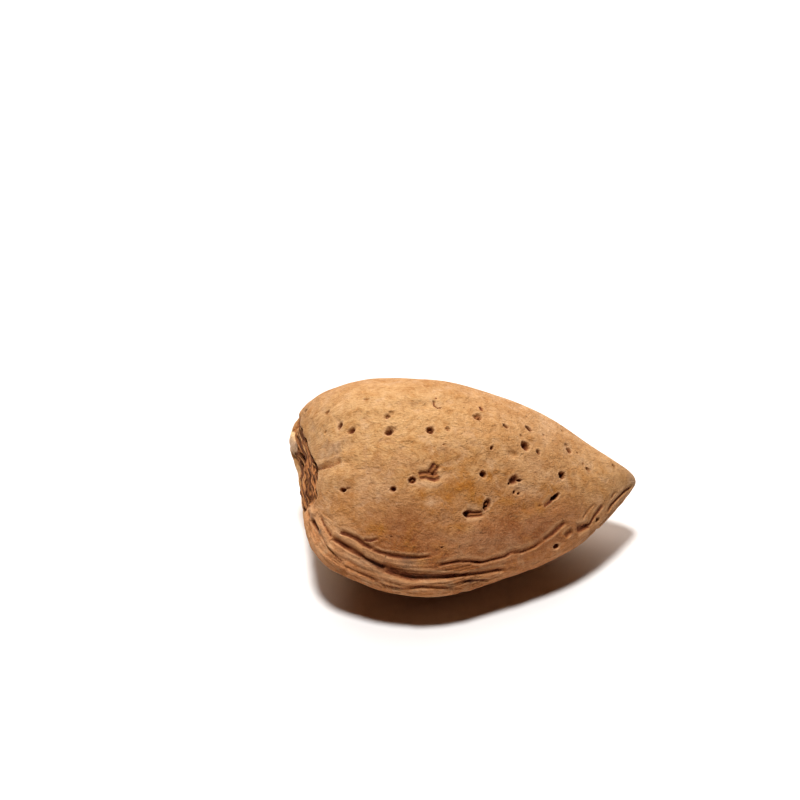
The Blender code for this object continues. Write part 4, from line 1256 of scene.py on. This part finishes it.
class ALMOND_OT_stage(bpy.types.Operator):
    """Makes the floor, the lights and the camera of the reference view"""

    bl_idname = "almond.stage"
    bl_label = "Stage"

    def execute(self, context):
        looks = context.scene.almond_stage_looks
        self.make_floor(looks)
        self.make_light("key", looks.key_strength, KEY_DIRECTION)
        self.make_light("back", looks.back_strength, BACK_DIRECTION)
        self.make_surroundings(looks)
        self.make_camera(looks)
        context.scene.view_settings.view_transform = "Standard"
        context.scene.view_settings.look = "Medium High Contrast"
        return {"FINISHED"}

    def make_floor(self, looks):
        half = looks.floor_side / 2
        corners = [(-half, -half, 0), (half, -half, 0), (half, half, 0), (-half, half, 0)]
        mesh = bpy.data.meshes.new("floor")
        mesh.from_pydata(corners, [], [(0, 1, 2, 3)])
        finish = Finish("pale_floor")
        finish.shader.inputs["Base Color"].default_value = (*looks.floor_colour, 1.0)
        finish.shader.inputs["Roughness"].default_value = 0.9
        finish.shader.inputs["Specular IOR Level"].default_value = 0.1
        mesh.materials.append(finish.material)
        floor = bpy.data.objects.new("floor", mesh)
        bpy.context.scene.collection.objects.link(floor)

    def make_light(self, name, strength, direction):
        """A distant light from an azimuth, measured from +X, and an elevation."""
        light = bpy.data.lights.new(name, "SUN")
        light.angle, light.energy, light.color = np.radians(direction.width), strength, direction.colour
        azimuth, rise = np.radians(direction.azimuth), np.radians(direction.elevation)
        toward = np.array([np.cos(azimuth) * np.cos(rise), np.sin(azimuth) * np.cos(rise), np.sin(rise)])
        side = unit(np.cross([1.0, 0.0, 0.0], toward))
        turn = np.eye(4)
        turn[:3, :3] = np.stack([np.cross(side, toward), side, toward], axis=1)
        turn[:3, 3] = toward
        lamp = bpy.data.objects.new(name, light)
        lamp.matrix_world = Matrix(turn.tolist())
        bpy.context.scene.collection.objects.link(lamp)

    def make_surroundings(self, looks):
        """Pale all round as the camera sees it, and dim as a light, so that the shadows stay deep."""
        world = bpy.data.worlds.new("surroundings")
        world.use_nodes = True
        tree = world.node_tree
        background = tree.nodes["Background"]
        rays, mix = tree.nodes.new("ShaderNodeLightPath"), tree.nodes.new("ShaderNodeMixRGB")
        mix.inputs["Color1"].default_value = (*looks.ambient, 1.0)
        mix.inputs["Color2"].default_value = (*looks.backdrop, 1.0)
        tree.links.new(rays.outputs["Is Camera Ray"], mix.inputs["Fac"])
        tree.links.new(mix.outputs["Color"], background.inputs["Color"])
        bpy.context.scene.world = world

    def make_camera(self, looks):
        """Stands the camera so that a posed point lands on the pixel that in_picture gives."""
        right, up, toward = view_axes()
        data = bpy.data.cameras.new("camera")
        data.sensor_width = looks.lens * PICTURE_SIDE / PIXELS_PER_MM / VIEW_DISTANCE
        data.lens = looks.lens
        data.clip_start, data.clip_end = 0.01, 10.0
        aside = (PIVOT_RIGHT - PICTURE_MIDDLE) / PIXELS_PER_MM
        below = (PIVOT_DOWN - PICTURE_MIDDLE) / PIXELS_PER_MM
        place = -right * aside + up * below + toward * VIEW_DISTANCE + floor_and_middle()
        turn = np.eye(4)
        turn[:3, :3] = np.stack([right, up, toward], axis=1)
        turn[:3, 3] = place * MM
        camera = bpy.data.objects.new("camera", data)
        camera.matrix_world = Matrix(turn.tolist())
        bpy.context.scene.collection.objects.link(camera)
        bpy.context.scene.camera = camera


class ALMOND_PT_pieces(bpy.types.Panel):
    """Lists the pieces of the almond and the stage"""

    bl_label = "Almond"
    bl_space_type = "VIEW_3D"
    bl_region_type = "UI"
    bl_category = "Almond"

    def draw(self, context):
        for operator in OPERATORS:
            self.layout.operator(operator.bl_idname)


OPERATORS = (ALMOND_OT_shell, ALMOND_OT_scar_fibres, ALMOND_OT_stage)
LOOKS = {
    "almond_shell_looks": AlmondShellLooks,
    "almond_fibre_looks": AlmondFibreLooks,
    "almond_stage_looks": AlmondStageLooks,
}


def register():
    for made in (*LOOKS.values(), *OPERATORS, ALMOND_PT_pieces):
        bpy.utils.register_class(made)
    for name, group in LOOKS.items():
        setattr(bpy.types.Scene, name, bpy.props.PointerProperty(type=group))


def unregister():
    for name in LOOKS:
        delattr(bpy.types.Scene, name)
    for made in (ALMOND_PT_pieces, *reversed(OPERATORS), *LOOKS.values()):
        bpy.utils.unregister_class(made)


def main():
    register()
    bpy.ops.almond.shell()
    bpy.ops.almond.scar_fibres()
    bpy.ops.almond.stage()


if __name__ == "__main__":
    main()
